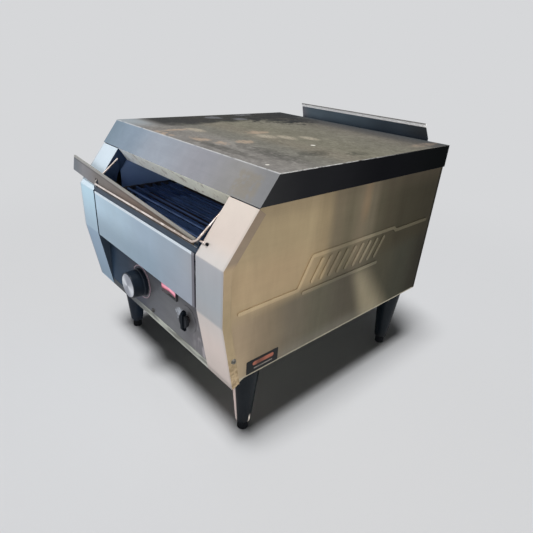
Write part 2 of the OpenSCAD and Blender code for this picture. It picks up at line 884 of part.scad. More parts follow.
// A flat plate between the frame plates, with its front and back edges turned by turn_h
module reflector(z, y0, y1, turn_h) {
    folded([[y0, z + turn_h], [y0, z], [y1, z], [y1, z + turn_h]], -sheet, -frame_x, frame_x);
}

module upper_reflector() {
    color("lightgray") on_legs()
        reflector(frame_top_z - 6, frame_slant_y + 12, frame_back_y - 14, -6);
}

module lower_reflector() {
    color("lightgray") on_legs() reflector(belt_axis_z - 12, idler_y + 26, drive_y - 26, 4);
}

module fan_frame() {
    back_y = body_d - sheet;
    front_y = back_y - fan_t;
    hub_r = fan_w * 0.2;
    color("black") on_legs() {
        difference() {
            block(
                fan_x - fan_w / 2, fan_x + fan_w / 2, front_y, back_y, fan_z - fan_w / 2,
                fan_z + fan_w / 2
            );
            rod_y(fan_x, front_y - 1, back_y + 1, fan_z, fan_w / 2 - 2);
        }
        rod_y(fan_x, front_y, front_y + 3, fan_z, hub_r);
        for (a = [45, 135, 225, 315]) {
            translate([fan_x, front_y + 0.5, fan_z]) rotate([0, a, 0])
                translate([hub_r - 3, 0, -1.5]) cube([fan_w * 0.56 - hub_r + 3, 2, 3]);
        }
        rod_y(fan_x, front_y + 3, front_y + 12, fan_z, 2);
    }
}

module fan_rotor() {
    front_y = body_d - sheet - fan_t + 3 + gap;
    hub_r = fan_w * 0.2;
    blade_l = fan_w / 2 - 3.5 - hub_r;
    color("black") on_legs() difference() {
        union() {
            rod_y(fan_x, front_y, front_y + 12, fan_z, hub_r);
            for (i = [0:6]) {
                translate([fan_x, front_y + 6, fan_z]) rotate([0, i * 360 / 7, 0])
                    translate([hub_r - 1, 0, 0]) rotate([40, 0, 0])
                    translate([0, -0.6, -6]) cube([blade_l, 1.2, 12]);
            }
        }
        rod_y(fan_x, front_y - 1, front_y + 9.5, fan_z, 2 + run_clear);
    }
}

// Potentiometer behind the control panel, with its threaded neck through the panel
module speed_control() {
    back_y = control_y + sheet;
    color("darkgreen") on_legs() difference() {
        union() {
            block(knob_x - 14, knob_x + 14, back_y, back_y + 16, knob_z - 14, knob_z + 14);
            rod_y(knob_x, control_y - 4, back_y, knob_z, neck_r);
        }
        rod_y(knob_x, control_y - 5, back_y + 12, knob_z, 3 + run_clear);
    }
}

module speed_shaft() {
    color("silver") on_legs() rod_y(knob_x, knob_face_y + 6, control_y + 11, knob_z, 3);
}

// Knob with a wide skirt and a recess for its cap, hollow behind around the neck
module speed_knob() {
    r = knob_d / 2;
    back = knob_out - 1.5;
    color("black") on_legs() translate([knob_x, knob_face_y, knob_z]) rotate([-90, 0, 0])
        rotate_extrude() polygon([
            [3, 1], [r - 1.6, 1], [r - 1.6, 0], [r - 0.6, 0], [r, 1.2], [r + 0.6, back - 5],
            [r + 1.6, back - 4], [r + 1.6, back], [7, back], [7, back - 5], [3, back - 5]
        ]);
}

module knob_cap() {
    r = knob_d / 2 - 1.7;
    color("silver") on_legs() translate([knob_x, knob_face_y, knob_z]) rotate([-90, 0, 0])
        rotate_extrude() polygon([[0, -0.6], [r - 1, -0.6], [r, 0.2], [r, 1], [0, 1]]);
}

module speed_dial() {
    color("dimgray") on_legs() difference() {
        rod_y(knob_x, control_y - 0.6, control_y, knob_z, dial_d / 2);
        rod_y(knob_x, control_y - 2, control_y + 1, knob_z, neck_r + 0.2);
    }
}

// Rotary switch behind the control panel, with its threaded neck through the panel
module selector_switch() {
    back_y = control_y + sheet;
    color("saddlebrown") on_legs() difference() {
        union() {
            rod_y(selector_x, back_y, back_y + 18, selector_z, 15);
            rod_y(selector_x, control_y - 3, back_y, selector_z, neck_r);
        }
        rod_y(selector_x, control_y - 4, back_y + 12, selector_z, 3 + run_clear);
    }
}

// Knob with a round base and an upright grip bar, in one piece with its shaft
module selector_knob() {
    base_y = control_y - 4 - gap;
    bar_x = selector_bar_w / 2;
    bar_l = selector_bar_l / 2;
    front_y = control_y - selector_out;
    color("black") on_legs() {
        rod_y(selector_x, base_y - 4, base_y, selector_z, selector_d / 2);
        along_x(selector_x - bar_x, selector_x + bar_x) polygon([
            [base_y, selector_z - bar_l], [base_y, selector_z + bar_l],
            [base_y - 3, selector_z + bar_l], [front_y, selector_z + bar_l - 3],
            [front_y, selector_z - bar_l + 3], [base_y - 3, selector_z - bar_l]
        ]);
        rod_y(selector_x, base_y - 1, control_y + 11, selector_z, 3);
    }
}

module selector_dial() {
    color("silver") on_legs() difference() {
        rod_y(selector_x, control_y - 0.6, control_y, selector_z, selector_dial_d / 2);
        rod_y(selector_x, control_y - 2, control_y + 1, selector_z, neck_r + 0.2);
    }
}

// Switch case with a frame on the panel's face. The rocker turns on an upright pin of the case
module power_switch() {
    face_y = control_y - 2;
    back_y = control_y + 22;
    frame_w = 1.2;
    color("black") on_legs() {
        difference() {
            union() {
                block(
                    switch_x - case_x, switch_x + case_x, control_y, back_y,
                    switch_z - case_h, switch_z + case_h
                );
                block(
                    switch_x - case_x - frame_w, switch_x + case_x + frame_w, face_y, control_y,
                    switch_z - case_h - frame_w, switch_z + case_h + frame_w
                );
            }
            block(
                switch_x - rocker_w / 2 - gap, switch_x + rocker_w / 2 + gap, face_y - 1,
                back_y - 4, switch_z - rocker_h / 2 - gap, switch_z + rocker_h / 2 + gap
            );
        }
        translate([switch_x, pivot_y, switch_z - rocker_h / 2 - 1])
            cylinder(h = rocker_h + 2, r = 1.5);
    }
}

// Rocker bored for its pin, with round ends about it. Its left half stands out at rest
module power_rocker() {
    half_w = rocker_w / 2;
    flat_y = -4.5;
    color("red") on_legs() translate([switch_x, pivot_y, switch_z - rocker_h / 2])
        linear_extrude(rocker_h) difference() {
            intersection() {
                circle(r = half_w - 0.2);
                polygon([
                    [half_w, flat_y], [0, flat_y], [-half_w, flat_y - half_w * tan(rocker_a)],
                    [-half_w, 1], [-7, 5], [7, 5], [half_w, 1]
                ]);
            }
            circle(r = 1.5 + run_clear);
        }
}

module terminal_block() {
    ways = 5;
    way_w = 10;
    x0 = gland_x + 4 * way_w;
    y0 = body_d - drive_inset - way_w;
    color("ivory") on_legs() difference() {
        block(x0, x0 + ways * way_w, y0, y0 + 22, sheet, sheet + 18);
        for (i = [0:ways - 1]) {
            translate([x0 + (i + 0.5) * way_w, y0 + 6, sheet + 8]) cylinder(h = 11, r = 2.5);
            translate([x0 + (i + 0.5) * way_w, y0 + 16, sheet + 8]) cylinder(h = 11, r = 2.5);
        }
    }
}

// Screwed gland in the rear panel, open for the mains cord
module cord_gland() {
    r = gland_d / 2;
    color("black") on_legs() difference() {
        union() {
            rod_y(gland_x, body_d - 14, body_d + 8, gland_z, r + 2.9);
            rod_y(gland_x, body_d, body_d + 5, gland_z, r + 5);
            rod_y(gland_x, body_d - sheet - 5, body_d - sheet, gland_z, r + 5);
            rod_y(gland_x, body_d + 5, body_d + 16, gland_z, r + 3.4);
        }
        rod_y(gland_x, body_d - 15, body_d + 17, gland_z, r);
    }
}

module pan_screw() {
    cylinder(h = 2, r1 = 3.4, r2 = 2.4);
    translate([0, 0, -5]) cylinder(h = 5, r = screw_r);
}

// Screws of the pillar flanges, the control panel and the rear panel
module body_screws() {
    color("silver") on_legs() {
        both_sides() translate([body_w / 2, flange_screw.x, flange_screw.y]) rotate([0, 90, 0])
            pan_screw();
        translate([0, control_y, panel_screw_z]) rotate([90, 0, 0]) pan_screw();
        both_sides() for (z = rear_screw_z) {
            translate([rear_screw_x, body_d, z]) rotate([-90, 0, 0]) pan_screw();
        }
    }
}

module leg_nuts() {
    color("silver") on_legs() for (p = leg_places) {
        translate([p.x, p.y, sheet]) difference() {
            cylinder(h = 6, r = 9, $fn = 6);
            translate([0, 0, -1]) cylinder(h = 8, r = stud_r);
        }
    }
}

// Tapered leg with a stud for the base pan and a bore for the foot's stem
module leg(place) {
    top_r = leg_top_d / 2;
    tip_r = leg_tip_d / 2;
    bore_r = stem_r + run_clear;
    bore_top = stem_l + 5 - leg_h;
    color("darkslategray") on_legs() translate([place.x, place.y, 0]) {
        rotate_extrude() polygon([
            [0, 0], [top_r, 0], [top_r, -3], [tip_r, 6 - leg_h], [tip_r - 0.8, 2.5 - leg_h],
            [tip_r - 2.5, -leg_h], [bore_r, -leg_h], [bore_r, bore_top], [0, bore_top]
        ]);
        cylinder(h = sheet + 9, r = stud_r);
    }
}

module foot(place) {
    pad_r = foot_d / 2;
    pad_top = -leg_h - gap;
    color("black") on_legs() translate([place.x, place.y, 0]) rotate_extrude() polygon([
        [0, -body_lift], [pad_r - 0.4, -body_lift], [pad_r, 0.4 - body_lift], [pad_r, pad_top - 1],
        [pad_r - 1, pad_top], [stem_r, pad_top], [stem_r, stem_l - leg_h], [0, stem_l - leg_h]
    ]);
}

module leg_front_left() leg(leg_places[0]);
module leg_front_right() leg(leg_places[1]);
module leg_back_left() leg(leg_places[2]);
module leg_back_right() leg(leg_places[3]);
module foot_front_left() foot(leg_places[0]);
module foot_front_right() foot(leg_places[1]);
module foot_back_left() foot(leg_places[2]);
module foot_back_right() foot(leg_places[3]);

base_pan();
side_panel_left();
side_panel_right();
front_pillar_left();
front_pillar_right();
control_panel();
heat_deck();
rear_panel();
lid();
lid_baffle();
rear_guard();
loading_tray();
feed_rod();
feed_guard();
front_panel();
crumb_tray();
toast_chute();
conveyor_frame_left();
conveyor_frame_right();
frame_ties();
shaft_bushes();
conveyor_chains();
conveyor_rods();
drive_shaft();
drive_sprockets();
driven_sprocket();
idler_shaft();
idler_sprockets();
gearmotor();
motor_sprocket();
drive_chain();
upper_elements();
lower_elements();
element_insulators();
upper_reflector();
lower_reflector();
fan_frame();
fan_rotor();
speed_control();
speed_shaft();
speed_knob();
knob_cap();
speed_dial();
selector_switch();
selector_knob();
selector_dial();
power_switch();
power_rocker();
terminal_block();
cord_gland();
body_screws();
leg_nuts();
leg_front_left();
leg_front_right();
leg_back_left();
leg_back_right();
foot_front_left();
foot_front_right();
foot_back_left();
foot_back_right();
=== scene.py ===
"""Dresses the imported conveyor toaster: finishes, small fittings, studio and camera."""
import json
import math

import bpy
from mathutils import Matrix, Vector

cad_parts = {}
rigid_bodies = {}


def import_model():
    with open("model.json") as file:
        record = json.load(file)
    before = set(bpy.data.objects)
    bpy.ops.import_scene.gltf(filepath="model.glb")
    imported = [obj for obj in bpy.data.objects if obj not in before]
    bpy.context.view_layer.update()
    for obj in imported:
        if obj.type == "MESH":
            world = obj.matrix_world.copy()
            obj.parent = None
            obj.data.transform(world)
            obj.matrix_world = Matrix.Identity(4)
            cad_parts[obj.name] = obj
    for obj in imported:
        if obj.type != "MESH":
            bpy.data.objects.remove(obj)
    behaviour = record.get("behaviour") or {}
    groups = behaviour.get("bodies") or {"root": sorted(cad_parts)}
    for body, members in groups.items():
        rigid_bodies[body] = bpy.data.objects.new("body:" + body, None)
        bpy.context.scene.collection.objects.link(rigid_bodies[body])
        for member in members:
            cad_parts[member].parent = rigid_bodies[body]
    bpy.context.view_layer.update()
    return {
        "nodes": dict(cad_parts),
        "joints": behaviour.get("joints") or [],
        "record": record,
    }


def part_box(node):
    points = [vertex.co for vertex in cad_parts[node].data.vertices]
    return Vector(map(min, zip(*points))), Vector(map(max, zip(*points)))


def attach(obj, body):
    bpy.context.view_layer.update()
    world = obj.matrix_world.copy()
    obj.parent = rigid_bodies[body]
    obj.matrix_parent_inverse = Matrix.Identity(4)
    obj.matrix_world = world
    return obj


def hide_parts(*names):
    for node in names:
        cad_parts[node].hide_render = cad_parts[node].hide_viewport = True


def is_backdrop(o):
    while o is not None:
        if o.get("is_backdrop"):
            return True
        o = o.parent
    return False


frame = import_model()
NODES = frame["nodes"]

MM = 0.001

# Sizes that part.scad names, in mm and degrees
SHEET = 1.2
RIB_HEIGHT = 1.1
GUARD_TILT = 3.8
MOUTH_SLANT = 52.6

# The body's own axes: x from the middle, y from the front plane, z from the side panels' lower edge
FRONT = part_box("front_panel")[0].y
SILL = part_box("rear_panel")[0].z - SHEET * MM
FLOOR = 0.0


def place(x, y, z):
    """A point given in mm in the body's own axes, in metres in the frame."""
    return Vector((x * MM, FRONT + y * MM, SILL + z * MM))


def own(point):
    """A point of the frame, in mm in the body's own axes."""
    return Vector((point.x / MM, (point.y - FRONT) / MM, (point.z - SILL) / MM))


def own_box(node):
    """The lowest and highest corners of a CAD node, in mm in the body's own axes."""
    low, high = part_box(node)
    return own(low), own(high)


# ---- materials

def linear(code):
    """The linear colour of a web colour code."""
    def channel(text):
        value = int(text, 16) / 255
        return value / 12.92 if value <= 0.04045 else ((value + 0.055) / 1.055) ** 2.4
    return (channel(code[0:2]), channel(code[2:4]), channel(code[4:6]), 1.0)


class Finish:
    """One procedural material. Its nodes read the place on the object in mm, in the body's axes."""

    def __init__(self, name, specular=0.5, **sockets):
        self.material = bpy.data.materials.new(name)
        self.material.use_nodes = True
        self.tree = self.material.node_tree
        self.shader = self.tree.nodes["Principled BSDF"]
        sockets["Specular_IOR_Level"] = specular
        for socket, value in sockets.items():
            self.shader.inputs[socket.replace("_", " ")].default_value = value
        source = self.node("ShaderNodeTexCoord")
        scaled = self.node("ShaderNodeVectorMath", operation="SCALE")
        self.feed(scaled.inputs[0], source.outputs["Object"])
        scaled.inputs["Scale"].default_value = 1 / MM
        moved = self.node("ShaderNodeVectorMath", operation="SUBTRACT")
        self.feed(moved.inputs[0], scaled.outputs[0])
        moved.inputs[1].default_value = (0, FRONT / MM, SILL / MM)
        self.place = moved.outputs[0]
        self.x, self.y, self.z = self.split(self.place)
        self.nx, self.ny, self.nz = self.split(source.outputs["Normal"])

    def node(self, kind, **settings):
        made = self.tree.nodes.new(kind)
        for setting, value in settings.items():
            setattr(made, setting, value)
        return made

    def feed(self, socket, value):
        """Links a socket to another, or sets it to a constant."""
        if isinstance(value, bpy.types.NodeSocket):
            self.tree.links.new(value, socket)
        else:
            socket.default_value = linear(value) if isinstance(value, str) else value

    def split(self, vector):
        parts = self.node("ShaderNodeSeparateXYZ")
        self.feed(parts.inputs[0], vector)
        return parts.outputs

    def calc(self, operation, a, b=0.0, c=0.0):
        made = self.node("ShaderNodeMath", operation=operation)
        for socket, value in zip(made.inputs, (a, b, c)):
            self.feed(socket, value)
        return made.outputs[0]

    def line(self, value, slope, start):
        """A straight line of a value: slope times it, plus start."""
        return self.calc("MULTIPLY_ADD", value, slope, start)

    def rise(self, value, low, high):
        """0 below low, 1 above high, smooth between them. With low above high, it falls instead."""
        made = self.node("ShaderNodeMapRange", interpolation_type="SMOOTHSTEP")
        self.feed(made.inputs["Value"], value)
        made.inputs["From Min"].default_value = low
        made.inputs["From Max"].default_value = high
        return made.outputs[0]

    def band(self, value, low, high, soft):
        """1 between low and high, with soft edges."""
        return self.both(
            self.rise(value, low - soft, low + soft), self.rise(value, high + soft, high - soft)
        )

    def both(self, *masks):
        result = masks[0]
        for mask in masks[1:]:
            result = self.calc("MULTIPLY", result, mask)
        return result

    def either(self, *masks):
        result = masks[0]
        for mask in masks[1:]:
            result = self.calc("MAXIMUM", result, mask)
        return result

    def times(self, mask, factor):
        return self.calc("MULTIPLY", mask, factor)

    def noise(self, size, stretch=(1, 1, 1), detail=2.0, warp=0.0, seed=0.0):
        """Noise of features about size mm, longer along the axes that stretch names."""
        scaled = self.node("ShaderNodeVectorMath", operation="MULTIPLY_ADD")
        self.feed(scaled.inputs[0], self.place)
        scaled.inputs[1].default_value = [1 / (size * s) for s in stretch]
        scaled.inputs[2].default_value = (seed, seed * 0.7, seed * 1.3)
        made = self.node("ShaderNodeTexNoise")
        self.feed(made.inputs["Vector"], scaled.outputs[0])
        made.inputs["Scale"].default_value = 1.0
        made.inputs["Detail"].default_value = detail
        made.inputs["Distortion"].default_value = warp
        return made.outputs[0]

    def ramp(self, value, stops):
        """A colour that follows a value, from a dict of value to colour code."""
        low, high = min(stops), max(stops)
        unit = self.node("ShaderNodeMapRange")
        self.feed(unit.inputs["Value"], value)
        unit.inputs["From Min"].default_value = low
        unit.inputs["From Max"].default_value = high
        made = self.node("ShaderNodeValToRGB")
        self.feed(made.inputs[0], unit.outputs[0])
        elements = made.color_ramp.elements
        made.color_ramp.interpolation = "EASE"
        for at in sorted(stops)[1:-1]:
            elements.new((at - low) / (high - low))
        for element, at in zip(elements, sorted(stops)):
            element.color = linear(stops[at])
        return made.outputs[0]

    def mix(self, share, first, second, mode="MIX"):
        made = self.node("ShaderNodeMix", data_type="RGBA", blend_type=mode)
        self.feed(made.inputs[0], share)
        self.feed(made.inputs[6], first)
        self.feed(made.inputs[7], second)
        return made.outputs[2]

    def tinted(self, colour, mask, amount, tint):
        """The colour, tinted where a mask says, and there by that amount."""
        return self.mix(self.times(mask, amount), colour, tint)

    def shade(self, colour, noise, amount):
        """The colour made lighter and darker by a noise, by about that share."""
        return self.tone(colour, self.line(noise, 2 * amount, 1 - amount))

    def tone(self, colour, gain):
        """The colour times a plain gain."""
        return self.mix(1.0, colour, self.grey(gain), "MULTIPLY")

    def grey(self, value):
        made = self.node("ShaderNodeCombineColor")
        for socket in made.inputs:
            self.feed(socket, value)
        return made.outputs[0]

    def oval(self, middle, reach, soft, ragged=None):
        """A soft oval patch. Middle and reach are dicts such as {"y": 40, "z": 12}. Noise frays it."""
        total = 0.0
        for axis, at in middle.items():
            share = self.calc("DIVIDE", self.calc("SUBTRACT", getattr(self, axis), at), reach[axis])
            total = self.calc("ADD", self.calc("POWER", share, 2.0), total)
        if ragged is not None:
            total = self.calc("ADD", total, self.line(ragged, 5.0, -2.5))
        return self.rise(total, 1 + soft, 1 - soft)

    def spot(self, x, y, rx, ry, soft, ragged=None):
        """A soft oval patch in plan."""
        return self.oval({"x": x, "y": y}, {"x": rx, "y": ry}, soft, ragged)

    def spots(self, places, soft, ragged):
        """Several such patches as one mask, each given by its middle and reach: (x, y, rx, ry)."""
        return self.either(*[self.spot(*patch, soft, ragged) for patch in places])

    def size(self, value):
        """A value without its sign."""
        return self.calc("ABSOLUTE", value)

    def metal(self, share):
        """Makes the surface as metallic as a mask says."""
        self.feed(self.shader.inputs["Metallic"], share)

    def bump(self, height, depth):
        """Raises the surface by a height of 0 to 1, times depth in mm."""
        made = self.node("ShaderNodeBump")
        self.feed(made.inputs["Height"], height)
        made.inputs["Strength"].default_value = 1.0
        made.inputs["Distance"].default_value = depth * MM
        self.feed(self.shader.inputs["Normal"], made.outputs[0])

    def done(self, colour, roughness=None):
        self.feed(self.shader.inputs["Base Color"], colour)
        if roughness is not None:
            self.feed(self.shader.inputs["Roughness"], roughness)
        return self.material


ALONG_X = (60, 1, 1)
ALONG_Y = (1, 60, 1)
ALONG_Z = (1, 1, 60)


def grained(finish, colour, grain, low, high, amount=0.05):
    """Fine brushed lines, fading handling marks and a roughness that follows both."""
    lines = finish.noise(0.9, grain, detail=3)
    broad = finish.noise(9, [min(s, 8) for s in grain], detail=3, seed=3)
    smudge = finish.noise(38, detail=4, warp=0.6, seed=7)
    colour = finish.shade(colour, lines, amount)
    colour = finish.shade(colour, broad, amount)
    colour = finish.shade(colour, smudge, 1.4 * amount)
    finish.bump(lines, 0.02)
    rough = finish.line(smudge, 2 * (high - low), low - (high - low) / 2)
    return finish.done(colour, rough)


def side_steel():
    """Brushed side panels with painted reflections: they darken to the back and low down, with painted
    bands, a painted pale glow low down, painted highlights on the ribs and hem, and painted shade under
    the lid and on the ribs' lower flanks.
    """
    f = Finish("side_steel", specular=0.0)
    f.metal(f.line(f.rise(f.y, 110, 260), -0.33, 0.5))
    # Painted reflection: lighter at the front, darker to the back, and darker low down (lower ramp),
    # where the floor's shadow would be reflected
    upper = f.ramp(f.y, {
        20: "a39377", 120: "a19174", 150: "94856a", 172: "706756", 200: "645e4e", 222: "706757",
        244: "625c4e", 264: "4d493d", 285: "454136", 320: "3b382e", 410: "343128",
    })
    lower = f.ramp(f.y, {
        20: "a08f78", 60: "857865", 110: "6c6558", 160: "5b584c", 205: "504c43", 300: "454339",
        345: "3b3b33", 410: "2e2c26",
    })
    tilt = f.line(f.y, 0.05, 84)
    colour = f.mix(f.rise(f.calc("SUBTRACT", f.z, tilt), -12, 14), lower, upper)
    # Painted reflection: a warm band at mid height towards the front
    warm_reflection = f.both(f.band(f.z, 96, 150, 20), f.rise(f.y, 170, 90))
    colour = f.tinted(colour, warm_reflection, 0.4, "b39a7c")
    # Painted reflection: a narrow orange band high up
    orange = f.both(f.band(f.y, 222, 236, 7), f.rise(f.z, 150, 180))
    colour = f.tinted(colour, orange, 0.35, "8a7258")
    # Painted shade: darker under the lid's overhang
    under_lid_shade = f.rise(f.z, 180, 214)
    colour = f.tinted(colour, under_lid_shade, 0.3, "5a5146")
    # Painted reflection: a pale slanted wedge low down, behind the middle
    near_side = f.rise(f.line(f.z, 0.4, f.y), 244, 278)
    far_side = f.rise(f.line(f.z, 0.85, f.y), 348, 290)
    wedge_reflection = f.both(near_side, far_side, f.rise(f.z, 100, 72))
    colour = f.tinted(colour, wedge_reflection, 0.72, "938b76")
    # Painted pale glow low down towards the back
    foot = f.both(f.rise(f.z, 26, 3), f.rise(f.y, 330, 200))
    colour = f.tinted(colour, foot, 0.35, "7d7b72")
    # Painted pale glow in the front lower corner
    corner = f.both(f.rise(f.y, 52, 18), f.rise(f.z, 60, 8))
    colour = f.tinted(colour, corner, 0.6, "bba88c")
    # Painted highlight: a pale line along the lower hem
    hem_highlight = f.rise(f.z, 2.8, 1.4)
    colour = f.tinted(colour, hem_highlight, 0.75, "aaa595")
    colour = f.shade(colour, f.noise(46, (1, 1, 2.5), detail=4, warp=0.5, seed=21), 0.18)
    colour = f.shade(colour, f.noise(7, (1, 1, 6), detail=4, warp=0.4, seed=29), 0.08)
    proud = own_box("side_panel_right")[1].x
    face_x = proud - RIB_HEIGHT
    out = f.size(f.x)
    # Painted highlight: the rib tops are made lighter, by a gain that grows to the back
    rib = f.rise(out, proud - 0.6, proud - 0.1)
    rib_highlight = f.line(f.rise(f.y, 170, 330), 1.2, 1.3)
    colour = f.tinted(colour, rib, 0.8, f.tone(colour, rib_highlight))
    # Painted shade on the ribs' lower flanks
    flank_shade = f.both(f.band(out, face_x + 0.1, proud - 0.35, 0.1), f.rise(f.nz, 0.1, -0.3))
    colour = f.tinted(colour, flank_shade, 0.9, f.tone(colour, 0.3))
    back_edge = f.rise(f.y, 408, 411)
    colour = f.tinted(colour, back_edge, 0.7, "1c1b18")
    return grained(f, colour, ALONG_Y, 0.34, 0.5)


def lid_steel():
    """Worn lid: stained by heat on top, cleaner on the slanted front, dark along its skirt, with painted
    reflection on the slant, a painted highlight along its top edge and painted shade on faces that look
    down.
    """
    f = Finish("lid_steel", specular=0.0)
    high_z = own_box("lid")[1].z
    level = f.rise(f.nz, 0.75, 0.9)
    upright = f.either(f.rise(f.size(f.nx), 0.6, 0.8), f.rise(f.ny, 0.5, 0.7))
    f.metal(f.line(f.either(level, upright), -0.2, 0.28))
    cloud = f.noise(70, detail=5, warp=0.8, seed=1)
    mottle = f.noise(13, detail=5, warp=0.7, seed=14)
    fine = f.noise(4, detail=4, warp=0.5, seed=5)
    top = f.ramp(f.y, {
        50: "827f7c", 110: "827f7a", 150: "77756d", 190: "7d786c", 230: "797669", 310: "777469",
        350: "736f66", 390: "5c5a58", 412: "525456",
    })
    top = f.shade(top, cloud, 0.2)
    top = f.shade(top, mottle, 0.38)
    top = f.shade(top, fine, 0.42)
    front_left = f.both(f.rise(f.x, -90, -165), f.rise(f.y, 118, 84))
    top = f.tinted(top, front_left, 0.85, "98a0a6")
    ragged_x = f.line(f.noise(30, detail=4, seed=17), 60, f.x)
    left = f.both(f.rise(ragged_x, -66, -94), f.rise(f.y, 92, 122))
    soot = f.either(
        f.times(left, 0.95), f.spots(((-92, 352, 42, 44), (-128, 330, 40, 70)), 0.95, mottle)
    )
    soot = f.both(soot, f.rise(fine, 0.0, 0.5))
    top = f.tinted(top, soot, 0.92, "282a2d")
    smear = f.either(
        f.spots(((134, 171, 14, 26), (159, 225, 10, 18)), 0.6, mottle),
        f.spots(((112, 122, 52, 15), (60, 88, 60, 8)), 0.7, mottle),
    )
    smear = f.both(smear, f.rise(mottle, 0.25, 0.6))
    top = f.tinted(top, smear, 0.6, "2f302d")
    rear = f.both(f.rise(f.y, 350, 405), f.rise(mottle, 0.3, 0.6))
    top = f.tinted(top, rear, 0.4, "3b3d3d")
    clean_places = (-172, 306, 8, 18), (-158, 232, 12, 15), (-128, 268, 10, 13)
    clean = f.spots(clean_places, 0.95, mottle)
    top = f.tinted(top, clean, 0.5, "84858a")
    rust_places = (
        (-70, 106, 7, 24), (-52, 74, 22, 7), (2, 96, 17, 10), (28, 105, 17, 8), (40, 140, 11, 12),
        (-11, 206, 12, 18),
    )
    faint_rust = f.times(f.spot(164, 376, 8, 34, 0.7, fine), 0.5)
    rust = f.either(f.spots(rust_places, 0.7, fine), faint_rust)
    rust = f.both(rust, f.rise(mottle, 0.35, 0.55))
    top = f.tinted(top, rust, 0.6, "b7a18c")
    pale_places = (20, 196, 16, 12), (38, 218, 18, 10), (56, 246, 16, 10), (-60, 130, 18, 10)
    pale = f.spots(pale_places, 0.8, fine)
    top = f.tinted(top, f.both(pale, f.rise(fine, 0.2, 0.6)), 0.75, "b5ab9a")
    specks = f.either(f.spot(96, 211, 3.0, 3.6, 0.2), f.spot(151, 80, 2.0, 2.4, 0.2))
    top = f.mix(specks, top, "e4e1d8")
    # Painted reflection on the slanted front: cool blue on the left, grey on the right
    front = f.ramp(f.x, {
        -185: "758592", -120: "818f9d", -40: "9299a3", 60: "8f9096", 130: "888786", 185: "797a7c",
    })
    front = f.shade(front, cloud, 0.08)
    front = f.shade(front, mottle, 0.08)
    tape = f.both(
        f.band(f.x, 130, 168, 3), f.band(f.z, 212, 236, 3), f.rise(f.noise(6, seed=23), 0.3, 0.55)
    )
    front = f.tinted(front, tape, 0.5, "857d6e")
    worn = f.rise(f.noise(14, detail=4, seed=9), 0.3, 0.55)
    skirt = f.ramp(f.y, {40: "2a2b2d", 120: "1d1e21", 260: "0f1013", 412: "07090a"})
    colour = f.mix(upright, f.mix(level, front, top), skirt)
    # A pale line along the top edge, broken by wear: painted highlight, partly wear
    edge_highlight = f.both(f.rise(f.z, high_z - 1.3, high_z - 0.5), f.rise(f.nz, 0.97, 0.9))
    colour = f.tinted(colour, f.both(edge_highlight, worn, f.rise(f.y, 340, 140)), 0.85, "c2c3c3")
    # Painted shade: faces that look down are darker
    colour = f.mix(f.rise(f.nz, -0.2, -0.4), colour, "24272b")
    return grained(f, colour, ALONG_X, 0.36, 0.52)


def pillar_steel():
    """Satin pillars with painted reflections, cool on the left and warm on the right; painted shade makes
    them dark on the folds that face inwards and along the outer corner.
    """
    f = Finish("pillar_steel", Metallic=0.12, specular=0.0)
    # Painted reflection: each ramp changes at the pillar's folds, cool on the left and warm on the right
    right = f.ramp(f.z, {
        -8: "a39b96", 5: "c7bcb6", 40: "cec2bc", 80: "c5beba", 86: "a4a6a9", 110: "a1a6ab",
        150: "a5a7ac", 154: "bebab7", 175: "c4b9b1", 209: "cac0b7",
    })
    left = f.ramp(f.z, {
        -8: "889aaa", 60: "90a2b4", 83: "94a7b9", 87: "a5b9c8", 150: "b6d1df", 154: "becdd7",
        209: "c2ced7",
    })
    colour = f.mix(f.rise(f.x, -5, 5), left, right)
    colour = f.shade(colour, f.noise(30, (1, 1, 2), detail=4, warp=0.6, seed=27), 0.04)
    out = f.size(f.x)
    end = own_box("front_pillar_right")[1].x
    # Painted shade: darker and browner along the outer corner
    corner = f.rise(out, end - 5, end)
    colour = f.tinted(colour, corner, 0.35, "9b8f86")
    flange = f.rise(f.size(f.nx), 0.7, 0.9)
    side = f.ramp(f.z, {
        -8: "b3a084", 40: "9c8d73", 84: "93856c", 150: "9c8b72", 160: "85786a", 209: "7f7264",
    })
    # Grime low on the flange
    dark_marks = f.both(f.rise(f.noise(7, detail=4, warp=0.6, seed=33), 0.4, 0.65), f.rise(f.z, 60, 10))
    side = f.tinted(side, dark_marks, 0.7, "6f5f48")
    side = f.shade(side, f.noise(9, detail=4, seed=4), 0.12)
    # Painted shade on the folds that face inwards
    inner_fold_shade = f.mix(f.rise(f.z, 150, 156), "3c4754", "2b3953")
    colour = f.mix(flange, colour, f.mix(f.rise(out, 168, 174), inner_fold_shade, side))
    return grained(f, colour, ALONG_Z, 0.48, 0.6, 0.03)


def drawer_steel():
    """Satin drawer front with painted reflection, cool on the left, a painted highlight that makes its
    top edge bright, painted shade that makes its right edge dark, and faint handling marks.
    """
    f = Finish("drawer_steel", Metallic=0.4, specular=0.2)
    # Painted reflection: cool blue on the left, grey on the right
    across = f.ramp(f.x, {-134: "b6cfe0", -60: "acc3d3", 20: "9cafc0", 80: "99a7b5", 134: "a0a5ad"})
    dim = f.mix(f.rise(f.x, 20, 110), "8599a9", "959daa")
    low = f.tinted(across, f.rise(f.z, 134, 98), 0.75, dim)
    low = f.shade(low, f.noise(26, detail=4, warp=0.6, seed=19), 0.07)
    # Painted highlight along the top edge
    edge_highlight = f.rise(f.z, 148.6, 150.0)
    colour = f.tinted(low, edge_highlight, 0.85, "e2ecf4")
    # Painted shade: a dark strip along the right edge
    end = own_box("front_panel")[1].x
    right = f.rise(f.x, end - 5.2, end - 4.2)
    colour = f.tinted(colour, right, 0.85, "625f66")
    return grained(f, colour, ALONG_X, 0.28, 0.42, 0.03)


